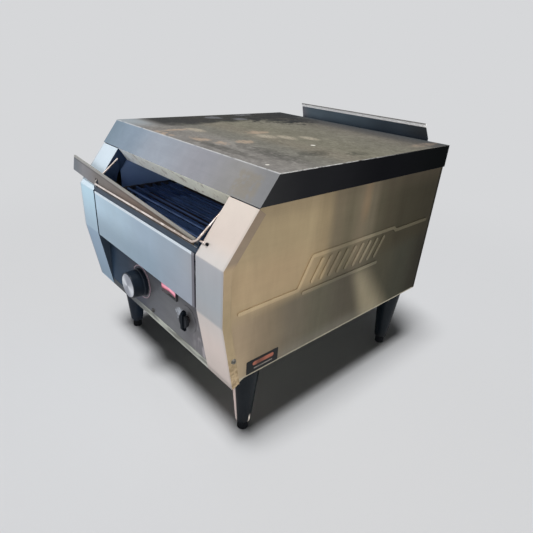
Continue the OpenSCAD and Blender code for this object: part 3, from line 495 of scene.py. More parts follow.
def control_steel():
    """Dark control panel, scraped low on its right and rubbed beside the selector, with painted shade
    under the overhanging drawer and painted reflection across it.
    """
    f = Finish("control_steel", Metallic=0.3, specular=0.0)
    # Painted shade and reflection: darker and bluer on the left, greyer on the right
    across = f.ramp(f.x, {
        -134: "2f3f51", -80: "324050", -40: "4c4f59", 0: "63656a", 60: "6d6e71", 134: "747275",
    })
    # Painted shade: darker at the top, under the drawer's overhang
    top = f.rise(f.z, 52, 76)
    colour = f.tinted(across, top, 0.6, "22262f")
    colour = f.shade(colour, f.noise(16, (3, 1, 1), detail=4, warp=0.6, seed=31), 0.18)
    scrape = f.both(f.rise(f.noise(7, (1, 1, 3), detail=4, warp=0.5, seed=37), 0.5, 0.64),
                    f.rise(f.x, 96, 126), f.rise(f.z, 56, 30))
    colour = f.tinted(colour, scrape, 0.7, "a8a2a5")
    colour = f.tinted(colour, selector_scuff(f), 0.9, "b4b9c1")
    return grained(f, colour, ALONG_X, 0.26, 0.4)


def sheet_steel(name, colour, metallic, low=0.34, high=0.5):
    """Plain sheet with faint brushing and soft stains."""
    f = Finish(name, Metallic=metallic)
    stain = f.rise(f.noise(44, detail=3, warp=0.3, seed=2), 0.35, 0.8)
    base = f.tinted(colour, stain, 0.16, "4a463e")
    return grained(f, base, ALONG_Y, low, high)


def pan_steel():
    """Base pan: its front edge shows as a streaked band of painted reflection, dark on its left from
    painted shade, and bright along the fold from a painted highlight.
    """
    f = Finish("pan_steel", Metallic=0.4, specular=0.1)
    # Painted shade: the band is dark on its left
    base = f.ramp(f.x, {-134: "2f363e", -50: "4a4e51", 0: "7e817c", 60: "9a9c92", 134: "7b7974"})
    # Painted reflection: pale streaks of glare on the band
    glare = f.rise(f.noise(20, (3, 1, 1), detail=3, warp=0.4, seed=41), 0.45, 0.62)
    glare = f.both(glare, f.rise(f.x, -60, 10))
    streaks = f.noise(14, (5, 1, 1), detail=4, warp=0.4, seed=15)
    colour = f.shade(f.tinted(base, glare, 0.6, "c3c7bb"), streaks, 0.38)
    # Dark streaks across the band
    dark_marks = f.rise(f.noise(9, (5, 1, 1), detail=4, warp=0.3, seed=52), 0.5, 0.64)
    colour = f.tinted(colour, dark_marks, 0.6, "4b4a48")
    # Painted highlight along the fold
    fold_highlight = f.both(f.band(f.z, -8, -5.5, 1.0), f.rise(f.x, -50, 20))
    colour = f.tinted(colour, fold_highlight, 0.5, "c0c2b8")
    return grained(f, colour, ALONG_X, 0.3, 0.45)


def selector_scuff(f):
    """Where the panel and the plate are rubbed bright, on the left of the selector knob."""
    low, high = own_box("selector_knob")
    centre = (low + high) / 2
    middle = {"x": centre.x - 16, "z": centre.z - 1}
    ragged = f.noise(4, detail=4, seed=2)
    patch = f.oval(middle, {"x": 11, "z": 8}, 0.8, ragged)
    return f.both(patch, f.rise(f.noise(3.2, detail=3, warp=0.5, seed=5), 0.2, 0.55))


def worn_plate():
    """Dull plate behind the selector knob, rubbed bright like the panel beside it."""
    f = Finish("worn_plate", Metallic=0.3, specular=0.0)
    colour = f.tinted("6f6f72", selector_scuff(f), 0.9, "b4b9c1")
    return grained(f, colour, ALONG_X, 0.28, 0.4)


def selector_finish():
    """Black grip bar on a round base of dark grey."""
    f = Finish("selector_black", Roughness=0.5, specular=0.05)
    low, high = own_box("selector_knob")
    middle = (low.x + high.x) / 2
    bar = f.rise(f.size(f.calc("SUBTRACT", f.x, middle)), 2.9, 2.7)
    cloud = f.noise(2.4, detail=4, warp=0.5, seed=5)
    f.bump(f.noise(0.5), 0.02)
    return f.done(f.shade(f.mix(bar, "26282c", "0c1118"), cloud, 0.15))


def switch_finish():
    """Resin switch body with a dark neck, which shows in front of the panel."""
    f = Finish("switch_resin", Roughness=0.5)
    cloud = f.noise(12, detail=4, seed=2)
    f.bump(f.noise(0.5), 0.03)
    panel_y = own_box("control_panel")[0].y
    return f.done(f.mix(f.rise(f.y, panel_y + 3, panel_y + 2), f.shade("6a3f22", cloud, 0.12), "33262b"))


def baffle_steel():
    """Pale flange in the mouth with brown heat spots."""
    f = Finish("baffle_steel", Metallic=0.1)
    base = f.ramp(f.x, {-134: "e6ecee", -80: "e4e6e0", 60: "e3e4d6", 134: "d9d6c4"})
    spots = f.rise(f.noise(10, detail=4, warp=0.4, seed=4), 0.54, 0.68)
    colour = f.tinted(base, spots, 0.7, "93867a")
    colour = f.shade(colour, f.noise(5, detail=4, seed=8), 0.14)
    return grained(f, colour, ALONG_X, 0.4, 0.55)


def guard_steel():
    """Dull blue-grey upstand: a painted highlight makes a bright line along its rolled hem, under a dark
    crest.
    """
    f = Finish("guard_steel", specular=0.0)
    top = own_box("rear_guard")[1].z
    face = f.ramp(f.x, {-138: "8b8c94", -112: "74838e", -30: "667581", 70: "4a545e", 138: "424549"})
    low_shade = f.rise(f.z, 252, 234)
    face = f.tinted(face, low_shade, 0.55, "243144")
    face = f.shade(face, f.noise(20, (3, 1, 1), detail=4, seed=5), 0.18)
    # Painted highlight along the rolled hem
    hem_highlight = f.rise(f.z, top - 6.2, top - 5.6)
    f.metal(f.line(hem_highlight, -0.3, 0.3))
    colour = f.mix(hem_highlight, face, "fbfbfb")
    crest = f.rise(f.z, top - 1.8, top - 1.4)
    colour = f.tinted(colour, crest, 0.9, "403f3c")
    return grained(f, colour, ALONG_X, 0.34, 0.5)


def feed_guard_steel():
    """Heat-tanned strip with a lighter hem from a painted highlight, and painted shade just under the
    hem.
    """
    f = Finish("feed_guard_steel", Metallic=0.35, specular=0.2)
    cloud = f.noise(24, detail=5, warp=0.5, seed=6)
    base = f.ramp(f.x, {-214: "6a7077", -170: "7c7b7e", -120: "726d6a", 0: "71645b", 130: "6f6153"})
    colour = f.shade(base, cloud, 0.18)
    low, high = own_box("feed_guard")
    tilt = math.tan(math.radians(GUARD_TILT))
    drop = f.times(f.calc("SUBTRACT", f.x, low.x), tilt)
    height = f.calc("SUBTRACT", f.calc("ADD", f.z, drop), high.z)
    # Painted shade: a dark band just under the hem
    under_hem_shade = f.band(height, -5.0, -3.4, 0.3)
    colour = f.tinted(colour, under_hem_shade, 0.5, "3b3734")
    # Painted highlight: the lighter hem
    hem_highlight = f.rise(height, -3.4, -2.6)
    colour = f.tinted(colour, hem_highlight, 0.85, "9c9b96")
    return grained(f, colour, ALONG_X, 0.36, 0.5)


def tray_steel():
    """Loading tray: dark, with a paler lip from a painted highlight, and side plates painted blue for the
    navy of the shade in the mouth.
    """
    f = Finish("tray_steel", Metallic=0.35, specular=0.2)
    stain = f.noise(18, detail=4, warp=0.5, seed=6)
    # The side plates' blue is the painted navy of the shade in the mouth
    inside = f.rise(f.size(f.nx), 0.5, 0.8)
    colour = f.mix(inside, "38434f", "2f3d55")
    # Painted highlight along the lip
    edge_highlight = f.both(f.rise(f.nz, 0.5, 0.8), f.rise(f.y, 12, 6))
    colour = f.tinted(colour, edge_highlight, 0.5, "a39a92")
    return grained(f, f.shade(colour, stain, 0.25), ALONG_X, 0.36, 0.5)


def machined(name, colour, dark, metallic=0.8, low=0.25, high=0.45):
    """Turned or stamped metal with oil in its low places."""
    f = Finish(name, Metallic=metallic)
    oil = f.rise(f.noise(6, detail=5, seed=12), 0.4, 0.7)
    return grained(f, f.tinted(colour, oil, 0.7, dark), (1, 1, 1), low, high)


def moulded(name, colour, roughness, pit=0.03, size=0.5, **sockets):
    """Moulded plastic, rubber or resin with a fine skin."""
    f = Finish(name, **sockets)
    cloud = f.noise(12, detail=4, seed=2)
    f.bump(f.noise(size, detail=2), pit)
    rough = f.line(cloud, 0.16, roughness - 0.08)
    return f.done(f.shade(colour, cloud, 0.12), rough)


def worn_print(name, colour):
    """Plain printed patch, softly rubbed towards black in places."""
    f = Finish(name, Roughness=0.5, specular=0.2)
    rubbed = f.rise(f.noise(16, detail=1, seed=6), 0.45, 0.85)
    return f.done(f.tinted(colour, rubbed, 0.6, "151414"))


def leg_metal():
    """Dark enamel, dusty low down, with painted reflection: cooler on the left legs, brown on the back
    right leg, and a pale strip and a glint on the front right one.
    """
    f = Finish("leg_metal", Coat_Weight=0.3, Coat_Roughness=0.08, specular=0.0)
    cloud = f.noise(14, detail=4, seed=3)
    dust = f.both(f.rise(f.z, -80, -106), f.rise(cloud, 0.4, 0.7))
    # Painted reflection: the enamel is cooler and bluer on the left legs
    enamel = f.mix(f.rise(f.x, 5, -5), "11161b", "1a222d")
    colour = f.tinted(f.shade(enamel, cloud, 0.3), dust, 0.4, "2c2926")
    turn = f.times(f.calc("ARCTAN2", f.nx, f.times(f.ny, -1.0)), 180 / math.pi)
    # Painted reflection: brown on the back right leg's side that faces right and back
    far_leg_reflection = f.both(f.rise(turn, 98, 122), f.rise(turn, 178, 150), f.rise(f.x, -5, 5), f.rise(f.y, 195, 205))
    colour = f.tinted(colour, far_leg_reflection, 0.5, "4a4031")
    mine = f.both(f.rise(f.x, -5, 5), f.rise(f.y, 205, 195), f.rise(f.size(f.nz), 0.9, 0.7))
    # Painted reflection: a pale strip down the front right leg's front-facing side
    strip_reflection = f.both(f.rise(turn, 8, -4), f.rise(f.z, -108, -96), mine)
    reflection_colours = f.ramp(f.z, {-106: "cfc0ba", -60: "d8c4bc", -10: "a89b94"})
    colour = f.tinted(colour, strip_reflection, 0.9, reflection_colours)
    # Painted glint low on its right side
    glint = f.both(f.band(turn, 94, 108, 5), f.band(f.z, -102, -91, 4), mine)
    colour = f.tinted(colour, glint, 0.9, "e6dfd6")
    f.bump(f.noise(2.2, detail=2), 0.03)
    return f.done(colour, f.line(cloud, 0.12, 0.24))


def knob_silver():
    """Turned cap: rings about the knob's centre and a two-sided conical sheen, which is a painted
    reflection.
    """
    f = Finish("knob_silver", Metallic=0.55)
    low, high = own_box("knob_cap")
    centre = (low + high) / 2
    dx, dz = f.calc("SUBTRACT", f.x, centre.x), f.calc("SUBTRACT", f.z, centre.z)
    reach = f.calc("SQRT", f.calc("ADD", f.calc("POWER", dx, 2.0), f.calc("POWER", dz, 2.0)))
    rings = f.calc("SINE", f.times(reach, 9.0))
    turn = f.calc("ARCTAN2", dz, dx)
    # Painted reflection: a sheen that turns twice about the centre
    sheen = f.line(f.calc("SINE", f.line(turn, 2.0, 2.2)), 0.5, 0.5)
    colour = f.mix(f.calc("POWER", sheen, 2.0), "8d919c", "d6dae0")
    colour = f.shade(colour, f.line(rings, 0.5, 0.5), 0.06)
    f.bump(f.line(rings, 0.5, 0.5), 0.03)
    return f.done(colour, 0.3)


def rod_finish():
    """Bright feed rod with brown heat marks, dull where its left corner sits in the guard's notch."""
    f = Finish("feed_rod_steel")
    marks = f.rise(f.noise(16, detail=4, seed=8), 0.45, 0.7)
    colour = f.tinted("f2e6df", marks, 0.6, "b09a8c")
    tan = f.both(f.rise(f.x, 20, 60), f.rise(f.x, 140, 130), f.rise(f.noise(9, seed=4), 0.35, 0.5))
    colour = f.tinted(colour, tan, 0.5, "8a7462")
    low = own_box("feed_rod")[0]
    notched = f.both(f.rise(f.x, -122, -126), f.band(f.z, low.z + 2.2, low.z + 11, 0.6))
    colour = f.mix(notched, colour, "77726f")
    f.metal(f.line(notched, -0.7, 0.7))
    return grained(f, colour, ALONG_X, 0.16, 0.32, 0.04)


def screw_finish():
    """Plated screws, dark where they sit in the control panel."""
    f = Finish("screw_steel", Metallic=0.5)
    oil = f.rise(f.noise(6, detail=5, seed=12), 0.4, 0.7)
    colour = f.tinted("77756f", oil, 0.7, "3f3c38")
    front = f.both(f.rise(f.y, 60, 40), f.rise(f.size(f.x), 160, 150))
    colour = f.tinted(colour, front, 0.85, "232325")
    return grained(f, colour, (1, 1, 1), 0.4, 0.55)


def rocker_red():
    """Red rocker, lit from inside: it glows pale along the middle, and its lower lip stays dark."""
    f = Finish("rocker_red", Roughness=0.25, Coat_Weight=0.4, Coat_Roughness=0.1)
    low, high = own_box("power_rocker")
    cloud = f.noise(10, detail=2, seed=1)
    lean = f.line(f.x, 0.16, f.calc("SUBTRACT", f.z, low.z + 0.16 * high.x))
    lit = f.rise(lean, 0.5, 3.5)
    glow = f.both(f.band(lean, 3.5, 8, 2.8), f.rise(cloud, 0.1, 0.6))
    colour = f.tinted("942142", glow, 0.85, "f3a6ba")
    colour = f.mix(lit, "23141c", f.shade(colour, cloud, 0.15))
    f.feed(f.shader.inputs["Emission Color"], colour)
    f.shader.inputs["Emission Strength"].default_value = 0.45
    f.bump(f.calc("SINE", f.times(f.x, 3.0)), 0.05)
    return f.done(colour)


def ceramic():
    """Rough pale ceramic of the element holders."""
    f = Finish("ceramic", Roughness=0.7)
    f.bump(f.noise(1.2, detail=4), 0.06)
    return f.done(f.shade("d9d2bf", f.noise(9, detail=4), 0.12))


def belt_steel():
    """Rods of the belt: drawn wire, dark from heat, with a thin cool shine."""
    f = Finish("belt_steel", Metallic=0.75)
    marks = f.rise(f.noise(16, detail=4, seed=8), 0.45, 0.7)
    return grained(f, f.tinted("43567a", marks, 0.6, "2c3b54"), ALONG_X, 0.34, 0.48, 0.04)


SLOT_FINISHES = (
    side_steel(), lid_steel(), pillar_steel(), drawer_steel(), control_steel(), baffle_steel(),
    guard_steel(), feed_guard_steel(), rod_finish(), belt_steel(), ceramic(), knob_silver(),
    rocker_red(), switch_finish(), screw_finish(), leg_metal(),
    sheet_steel("casing_steel", "94999d", 0.35),
    sheet_steel("reflector_aluminium", "c4c8cb", 0.7),
    machined("shaft_steel", "a9abad", "6a6864"),
    machined("chain_steel", "5d5c5a", "1e1c1a"),
    machined("bush_bronze", "b08a4a", "5d4420"),
    machined("element_steel", "4a3a30", "241c17", 0.4, 0.5, 0.7),
    moulded("motor_metal", "55585b", 0.5, 0.05, 1.2, Metallic=0.3),
    moulded("knob_black", "161e28", 0.36, 0.02, specular=0.2),
    moulded("plastic_black", "1c1d1f", 0.5),
    moulded("foot_rubber", "0f1114", 0.75, 0.08, 0.8, specular=0.1),
)
# Each under its slot's name, without the number that Blender adds to a name in use
FINISHES = {finish.name.split(".")[0]: finish for finish in SLOT_FINISHES}
# Frames and reflectors in the mouth: their blue is the painted navy of the shade there
MOUTH_SHADE_BLUE = sheet_steel("blued_steel", "6f88b2", 0.2, 0.4, 0.6)
OWN_FINISH = {
    "conveyor_frame_left": MOUTH_SHADE_BLUE, "conveyor_frame_right": MOUTH_SHADE_BLUE, "upper_reflector": MOUTH_SHADE_BLUE,
    "lower_reflector": MOUTH_SHADE_BLUE, "frame_ties": MOUTH_SHADE_BLUE, "loading_tray": tray_steel(),
    "selector_dial": worn_plate(), "base_pan": pan_steel(),
    "selector_knob": selector_finish(),
}


def dress_nodes():
    """Gives each CAD node the finish of its slot, and a few nodes one of their own."""
    for part in frame["record"]["subparts"]:
        name = part["node"]
        mesh = NODES[name].data
        mesh.materials.clear()
        mesh.materials.append(OWN_FINISH.get(name) or FINISHES[part["material_slot"]])


FOLDED = {
    "lid": 0.9, "front_pillar_left": 0.5, "front_pillar_right": 0.5, "front_panel": 0.5,
    "side_panel_left": 0.5, "side_panel_right": 0.5, "rear_guard": 0.5, "base_pan": 0.5,
    "loading_tray": 0.4, "lid_baffle": 0.5, "feed_guard": 0.4,
    "crumb_tray": 0.4, "gearmotor": 1.0,
    "power_rocker": 0.6, "selector_knob": 0.6, "terminal_block": 0.5,
}


def round_edges():
    """Rounds folds and edges by the small radii that FOLDED gives in mm."""
    for name, radius in FOLDED.items():
        weld = NODES[name].modifiers.new("weld", "WELD")
        weld.merge_threshold = 0.00001
        bevel = NODES[name].modifiers.new("edges", "BEVEL")
        bevel.width = radius * MM
        bevel.segments = 2
        bevel.limit_method = "ANGLE"
        bevel.angle_limit = math.radians(28)
        flat = NODES[name].modifiers.new("flat_faces", "WEIGHTED_NORMAL")
        flat.mode = "FACE_AREA"
        flat.weight = 100


# ---- pieces

def put(name, data):
    """A new object in the scene."""
    made = bpy.data.objects.new(name, data)
    bpy.context.scene.collection.objects.link(made)
    return made


def piece(name, solid, body, slot, material=None, smooth=False):
    """A new mesh on a CAD body. A solid is its points, in mm in the body's own axes, and faces."""
    points, faces = solid
    mesh = bpy.data.meshes.new(name)
    mesh.from_pydata([place(*p) for p in points], [], faces)
    mesh.validate()
    mesh.materials.append(material or FINISHES[slot])
    if smooth:
        mesh.shade_smooth()
        mesh.set_sharp_from_angle(angle=math.radians(35))
    made = put(name, mesh)
    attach(made, body)
    return made


def between(a, b, count):
    """The side faces between two rings of points, which start at number a and number b."""
    return [[a + i, a + (i + 1) % count, b + (i + 1) % count, b + i] for i in range(count)]


def prism(outline, out, start, end):
    """Points and faces of an outline of (u, v) pairs carried from start to end by out(u, v, w)."""
    count = len(outline)
    points = [out(u, v, w) for w in (start, end) for u, v in outline]
    faces = [list(range(count))[::-1], list(range(count, 2 * count))]
    return points, faces + between(0, count, count)


def joined(*solids):
    """Several solids as one list of points and one list of faces."""
    points, faces = [], []
    for some_points, some_faces in solids:
        first = len(points)
        points += some_points
        faces += [[first + i for i in face] for face in some_faces]
    return points, faces


def rounded(width, height, radius, steps=4):
    """An outline with round corners about the origin."""
    outline = []
    for turn, (sx, sy) in enumerate(((1, 1), (-1, 1), (-1, -1), (1, -1))):
        for i in range(steps + 1):
            angle = math.radians(90 * (turn + i / steps))
            outline.append((
                sx * (width / 2 - radius) + radius * math.cos(angle),
                sy * (height / 2 - radius) + radius * math.sin(angle),
            ))
    return outline


def heading(angle):
    """The unit vector (u, v) at an angle in radians."""
    return Vector((math.cos(angle), math.sin(angle)))


def turned(profile, out, steps):
    """A closed profile of (radius, depth) pairs turned about an axis: out(u, v, depth)."""
    count = len(profile)
    points, faces = [], []
    for i in range(steps):
        angle = 2 * math.pi * i / steps
        points += [out(r * math.cos(angle), r * math.sin(angle), d) for r, d in profile]
    for i in range(steps):
        faces += between(i * count, (i + 1) % steps * count, count)
    return points, faces


def tube(route, radius, sides=10):
    """A round bar along a route of points, closed at both ends."""
    points, faces = [], []
    side = Vector((0, 0, 1))
    for i, at in enumerate(route):
        ahead = route[min(i + 1, len(route) - 1)] - route[max(i - 1, 0)]
        ahead.normalize()
        side = (side - ahead * side.dot(ahead)).normalized()
        other = ahead.cross(side)
        for k in range(sides):
            angle = 2 * math.pi * k / sides
            points.append(at + radius * (math.cos(angle) * side + math.sin(angle) * other))
    for i in range(len(route) - 1):
        faces += between(i * sides, (i + 1) * sides, sides)
    faces.append(list(range(sides))[::-1])
    faces.append([len(points) - sides + k for k in range(sides)])
    return points, faces


def frontward(x, y, z):
    """Carries (u, v, out) from a place on a face that looks to the front."""
    return lambda u, v, w: (x + u, y - w, z + v)


def blank_label():
    """A blank black label low on the right side, with a plain bar and a stripe."""
    width, height, middle_y, middle_z = 51, 19, 62.8, 11.6
    sheet, ink = (-0.05, 0.25), (0.2, 0.34)
    face_x = own_box("side_panel_right")[1].x - RIB_HEIGHT

    def at(dy, dz):
        return lambda u, v, w: (face_x + w, middle_y + dy + u, middle_z + dz + v)
    black = moulded("label_black", "0f1011", 0.5, 0.01, specular=0.2)
    label = prism(rounded(width, height, 1.2), at(0, 0), *sheet)
    piece("blank_label", label, "casing", "plastic_black", black)
    bar = prism(rounded(34, 5.4, 2.4), at(1, 3), *ink)
    piece("label_bar", bar, "casing", "plastic_black", worn_print("label_orange", "8c5546"))
    stripe = prism(rounded(30, 1.8, 0.8), at(1, -4.2), *ink)
    piece("label_stripe", stripe, "casing", "plastic_black", worn_print("label_grey", "75706d"))


def dial_marks():
    """The mauve rim of the speed dial, its plain scale and a mark beside it on the panel."""
    low, high = own_box("speed_dial")
    centre = (low + high) / 2
    radius = (high.x - low.x) / 2
    out = frontward(centre.x, low.y, centre.z)
    rim = [
        (radius + 0.8 * math.cos(math.radians(a)), 0.1 + 0.5 * math.sin(math.radians(a)))
        for a in range(0, 360, 45)
    ]
    mauve = moulded("dial_rim", "8d7682", 0.35, 0.005)
    piece("dial_rim", turned(rim, out, 72), "casing", "control_steel", mauve, smooth=True)
    scale_grey = moulded("dial_grey", "7f8184", 0.5, 0.01)
    ticks = []
    count, first, step = 11, 225, 27
    for i in range(count):
        ray = heading(math.radians(first - step * i))
        across = Vector((-ray.y, ray.x))
        start, end = radius - 3.4, radius - (1.2 if i % 5 else 0.6)
        half = 0.25 if i % 5 else 0.4
        corners = [ray * start - across * half, ray * end - across * half,
                   ray * end + across * half, ray * start + across * half]
        ticks.append(prism([tuple(c) for c in corners], out, -0.02, 0.1))
    piece("dial_scale", joined(*ticks), "casing", "control_steel", scale_grey)
    mark_left, mark_up = 21.5, 14.3
    panel_y = own_box("control_panel")[0].y
    mark = frontward(centre.x - mark_left, panel_y, centre.z + mark_up)
    dot = prism(rounded(3.6, 1.6, 0.6), mark, -0.05, 0.15)
    piece("dial_mark", dot, "casing", "control_steel", scale_grey)


def screw_recesses():
    """The cross recess of each body screw, found from the screws' own solids, as a thin dark mark of
    painted shade.
    """
    mesh = NODES["body_screws"].data
    arm, half = 1.9, 0.38
    side_x, front_y = 175, 100
    cross, quarter = [], [(half, half), (half, arm), (-half, arm)]
    for _ in range(4):
        cross += quarter
        quarter = [(-y, x) for x, y in quarter]
    solids = []
    for group in islands(mesh):
        corners = [own(mesh.vertices[i].co) for i in group]
        low = Vector([min(c[k] for c in corners) for k in range(3)])
        high = Vector([max(c[k] for c in corners) for k in range(3)])
        middle = (low + high) / 2
        if abs(middle.x) > side_x:
            sign = math.copysign(1, middle.x)
            tip = high.x if sign > 0 else -low.x
            out = lambda u, v, w: (sign * (tip + w), middle.y + u, middle.z + v)
        elif middle.y < front_y:
            out = frontward(middle.x, low.y, middle.z)
        else:
            out = lambda u, v, w: (middle.x + u, high.y + w, middle.z + v)
        solids.append(prism(cross, out, -0.1, 0.04))
    # Painted shade: a thin dark cross stands for the shade in each recess
    dark = moulded("recess_dark", "1a1a1b", 0.6, 0.01)
    piece("screw_recesses", joined(*solids), "casing", "screw_steel", dark)


def islands(mesh):
    """The separate solids of a mesh, as lists of vertex numbers. Points in one place count as one."""
    first, parent = {}, list(range(len(mesh.vertices)))

    def root(i):
        while parent[i] != i:
            parent[i] = parent[parent[i]]
            i = parent[i]
        return i
    for v in mesh.vertices:
        key = tuple(round(c, 6) for c in v.co)
        parent[root(v.index)] = root(first.setdefault(key, v.index))
    for edge_highlight in mesh.edges:
        a, b = edge_highlight.vertices
        parent[root(a)] = root(b)
    groups = {}
    for i in range(len(parent)):
        groups.setdefault(root(i), []).append(i)
    return list(groups.values())


def chain_loop(axis_a, radius_a, axis_b, radius_b, pitch):
    """Pin places (y, z) round two sprockets, an even number of them."""
    line = axis_b - axis_a
    lean = math.asin((radius_a - radius_b) / line.length)
    run = line.length * math.cos(lean)
    arc_a, arc_b = radius_a * (math.pi + 2 * lean), radius_b * (math.pi - 2 * lean)
    total = 2 * run + arc_a + arc_b
    count = 2 * round(total / pitch / 2)
    first = math.atan2(line.y, line.x) + math.pi / 2 - lean
    second = first - (math.pi - 2 * lean)

    def straight(axis, radius, angle, s):
        normal = heading(angle)
        along = Vector((normal.y, -normal.x))
        return axis + normal * radius + along * s

    def at(s):
        if s < run:
            return straight(axis_a, radius_a, first, s)
        s -= run
        if s < arc_b:
            return axis_b + radius_b * heading(first - s / radius_b)
        s -= arc_b
        if s < run:
            return straight(axis_b, radius_b, second, s)
        s -= run
        return axis_a + radius_a * heading(second - s / radius_a)
    return [at(i * total / count) for i in range(count)]


def link_plate(a, b, half_height, x0, x1):
    """One link plate with round ends, from pin a to pin b."""
    along = (b - a).normalized()
    across = Vector((-along.y, along.x))
    outline = []
    for centre, start in ((b, -90), (a, 90)):
        for i in range(7):
            angle = math.radians(start + 30 * i)
            outline.append(tuple(
                centre + half_height * (math.cos(angle) * along + math.sin(angle) * across)
            ))
    return prism(outline, lambda u, v, w: (w, u, v), x0, x1)


def chain(name, node, pins, x_places, width, half_height):
    """A chain of link plates and rollers that stands for a plain CAD band."""
    solids = []
    plate = 0.2 * width
    for x in x_places:
        for i, pin in enumerate(pins):
            after = pins[(i + 1) % len(pins)]
            inset = 0 if i % 2 else plate
            for sign in (-1, 1):
                outer = x + sign * (width / 2 - inset)
                x0, x1 = sorted((outer, outer - sign * plate * 0.9))
                solids.append(link_plate(pin, after, half_height, x0, x1))
            roller = [
                (pin.x + 0.6 * half_height * math.cos(k * math.pi / 5),
                 pin.y + 0.6 * half_height * math.sin(k * math.pi / 5)) for k in range(10)
            ]
            solids.append(prism(roller, lambda u, v, w: (w, u, v), x - width / 2, x + width / 2))
    made = piece(name, joined(*solids), "casing", "chain_steel")
    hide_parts(node)


def axis_of(joint_name):
    """The (y, z) place of a shaft's axis, from its joint."""
    for joint in frame["joints"]:
        if joint["name"] == joint_name:
            at = own(Vector(joint["pos_m"]))
            return Vector((at.y, at.z))
    raise KeyError(joint_name)


def chains():
    """Links in place of the two plain bands that stand for the chains in the CAD model."""
    pitch = 9.5
    drive, idler = axis_of("drive_shaft_spin"), axis_of("idler_shaft_spin")
    low, high = own_box("conveyor_chains")
    width, height = 4.0, 6.0
    radius = (high.z - low.z) / 2 - height / 2
    pins = chain_loop(idler, radius, drive, radius, pitch)
    x = high.x - width / 2
    chain("belt_chain_links", "conveyor_chains", pins, (-x, x), width, height / 2)
    motor = axis_of("motor_output_spin")
    low, high = own_box("drive_chain")
    thickness = 5.0
    big = high.z - drive.y - thickness / 2
    small = motor.y - low.z - thickness / 2
    pins = chain_loop(drive, big, motor, small, pitch)
    middle = (low.x + high.x) / 2
    chain("drive_chain_links", "drive_chain", pins, (middle,), high.x - low.x, thickness / 2)


def rod_pin():
    """The small pin beside the mouth's right corner, with its dark cap."""
    low, high = own_box("feed_rod")
    wire, cap = 1.1, 1.7
    inside, outside, cap_step = 3, 10.5, 0.6
    slope = math.tan(math.radians(MOUTH_SLANT))
    brow = own_box("front_panel")[1].z
    z = low.z + 2.6
    face_y = (z - brow) / slope
    start = Vector((high.x - inside, face_y - 2 * wire, z))
    end = Vector((high.x + outside, face_y - 1.5, z + 0.3))
    route = [start.lerp(end, i / 6) for i in range(7)]
    piece("rod_pin", tube(route, wire), "casing", "feed_rod_steel", smooth=True)
    tip = [end + Vector((cap_step * i, 0, 0)) for i in range(5)]
    piece("rod_pin_cap", tube(tip, cap), "casing", "foot_rubber", smooth=True)


# ---- studio

BACKDROP = "d6d7d9"
AMBIENT = 0.04
IN_MOUTH = (
    "conveyor_frame_left", "conveyor_frame_right", "frame_ties", "conveyor_rods", "lid_baffle",
    "upper_reflector", "lower_reflector", "upper_elements", "lower_elements", "heat_deck",
    "idler_sprockets", "idler_shaft", "rear_panel", "toast_chute", "loading_tray",
)


def light_path_share(tree):
    """1 for rays that should see the backdrop: camera, glossy and transmission rays."""
    path = tree.nodes.new("ShaderNodeLightPath")
    total = path.outputs["Is Camera Ray"]
    for other in ("Is Glossy Ray", "Is Transmission Ray"):
        added = tree.nodes.new("ShaderNodeMath")
        added.operation = "MAXIMUM"
        tree.links.new(total, added.inputs[0])
        tree.links.new(path.outputs[other], added.inputs[1])
        total = added.outputs[0]
    return total


def shown_instead(tree, share, lit, shown, output):
    """Sends the lit shader to an output, and the shown one in its place where share is 1."""
    blend = tree.nodes.new("ShaderNodeMixShader")
    for socket, source in zip(blend.inputs, (share, lit, shown)):
        tree.links.new(source, socket)
    tree.links.new(blend.outputs[0], tree.nodes[output].inputs["Surface"])


def backdrop_world():
    """Lights the object by a faint even grey, and shows the backdrop's colour behind it."""
    world = bpy.data.worlds.new("studio")
    bpy.context.scene.world = world
    world.use_nodes = True
    tree = world.node_tree
    ambient = tree.nodes["Background"]
    ambient.inputs["Color"].default_value = (1, 1, 1, 1)
    ambient.inputs["Strength"].default_value = AMBIENT
    shown = tree.nodes.new("ShaderNodeBackground")
    shown.inputs["Color"].default_value = linear(BACKDROP)
    share = light_path_share(tree)
    shown_instead(tree, share, ambient.outputs[0], shown.outputs[0], "World Output")
    world.cycles.sampling_method = "NONE"


def floor():
    """A pale floor that fades into the backdrop away from the object."""
    size, fade_from, fade_to = 30, 0.62, 1.25
    mesh = bpy.data.meshes.new("floor")
    corners = [(-1, -1), (1, -1), (1, 1), (-1, 1)]
    mesh.from_pydata([(size * x, size * y, FLOOR) for x, y in corners], [], [[0, 1, 2, 3]])
    made = put("floor", mesh)
    made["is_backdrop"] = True
    material = bpy.data.materials.new("floor")
    material.use_nodes = True
    tree = material.node_tree
    shader = tree.nodes["Principled BSDF"]
    shader.inputs["Base Color"].default_value = linear(BACKDROP)
    shader.inputs["Roughness"].default_value = 1.0
    shader.inputs["Specular IOR Level"].default_value = 0.0
    shown = tree.nodes.new("ShaderNodeEmission")
    shown.inputs["Color"].default_value = linear(BACKDROP)
    source = tree.nodes.new("ShaderNodeTexCoord")
    length = tree.nodes.new("ShaderNodeVectorMath")
    length.operation = "LENGTH"
    tree.links.new(source.outputs["Object"], length.inputs[0])
    fade = tree.nodes.new("ShaderNodeMapRange")
    fade.interpolation_type = "SMOOTHSTEP"
    fade.inputs["From Min"].default_value = fade_from
    fade.inputs["From Max"].default_value = fade_to
    tree.links.new(length.outputs["Value"], fade.inputs["Value"])
    shown_instead(tree, fade.outputs[0], shader.outputs[0], shown.outputs[0], "Material Output")
    mesh.materials.append(material)


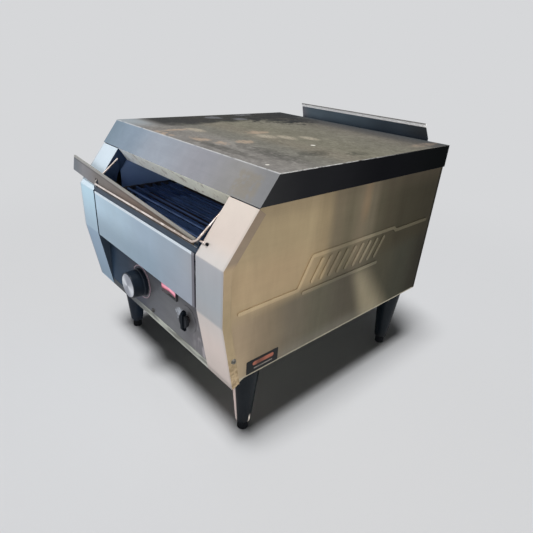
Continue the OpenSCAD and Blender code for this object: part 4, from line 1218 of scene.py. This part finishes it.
def overhead_light(level):
    """A soft lamp overhead, tipped so that the shadow falls a little to the back and the left."""
    lamp = bpy.data.lights.new("overhead", "SUN")
    lamp.energy = math.pi * level
    lamp.angle = math.radians(18)
    made = put("overhead", lamp)
    made.location = (0, 0, 3)
    made.rotation_euler = (math.radians(14), math.radians(1.5), 0)


def fill_light(name, azimuth, elevation, level, tint, lit, shadow=True):
    """A softbox that lights only the collection lit, so the floor's shadow stays as it is."""
    distance, size = 2.2, 0.8
    lamp = bpy.data.lights.new(name, "AREA")
    lamp.shape = "SQUARE"
    lamp.size = size
    lamp.energy = level * (math.pi * distance) ** 2
    lamp.color = linear(tint)[:3]
    made = put(name, lamp)
    turn, rise = math.radians(azimuth), math.radians(elevation)
    flat = math.cos(rise)
    away = Vector((math.sin(turn) * flat, -math.cos(turn) * flat, math.sin(rise)))
    aim = place(0, 200, 110)
    made.location = aim + distance * away
    made.rotation_euler = away.to_track_quat("Z", "Y").to_euler()
    made.light_linking.receiver_collection = lit
    made.visible_glossy = False
    lamp.use_shadow = shadow


def camera():
    """The photograph's camera, as solved from its vanishing points and the casing's edges."""
    made = put("camera", bpy.data.cameras.new("camera"))
    made.data.lens = 28.76
    made.data.sensor_width = 36
    made.location = (0.48108, -0.44889, SILL + 0.34563)
    made.rotation_euler = [math.radians(a) for a in (63.584, -3.563, 48.168)]
    bpy.context.scene.camera = made


# Name, azimuth and elevation in degrees, level and tint
FILLS = (
    ("fill_front_left", -38, 11, 0.33, "f2f6ff"), ("fill_front_right", 42, 11, 0.33, "fffaf4"),
    ("fill_right", 95, 3, 0.5, "fffaf2"), ("fill_back", 185, 3, 0.6, "ffffff"),
    ("fill_left", -95, 3, 0.5, "f6f8ff"),
)


def studio():
    backdrop_world()
    floor()
    lit = bpy.data.collections.new("lit_by_fills")
    for shown in bpy.context.scene.collection.objects:
        if shown.type == "MESH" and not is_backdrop(shown):
            lit.objects.link(shown)
    overhead_light(1 - AMBIENT)
    for fill in FILLS:
        fill_light(*fill, lit)
    mouth = bpy.data.collections.new("lit_in_mouth")
    for name in IN_MOUTH:
        mouth.objects.link(NODES[name])
    mouth.objects.link(bpy.data.objects["belt_chain_links"])
    fill_light("fill_mouth", 25, 40, 0.2, "d4e2ff", mouth, shadow=False)
    camera()


dress_nodes()
round_edges()
blank_label()
dial_marks()
screw_recesses()
chains()
rod_pin()
studio()

scene = bpy.context.scene
scene.view_settings.view_transform = "Standard"
bpy.context.view_layer.update()
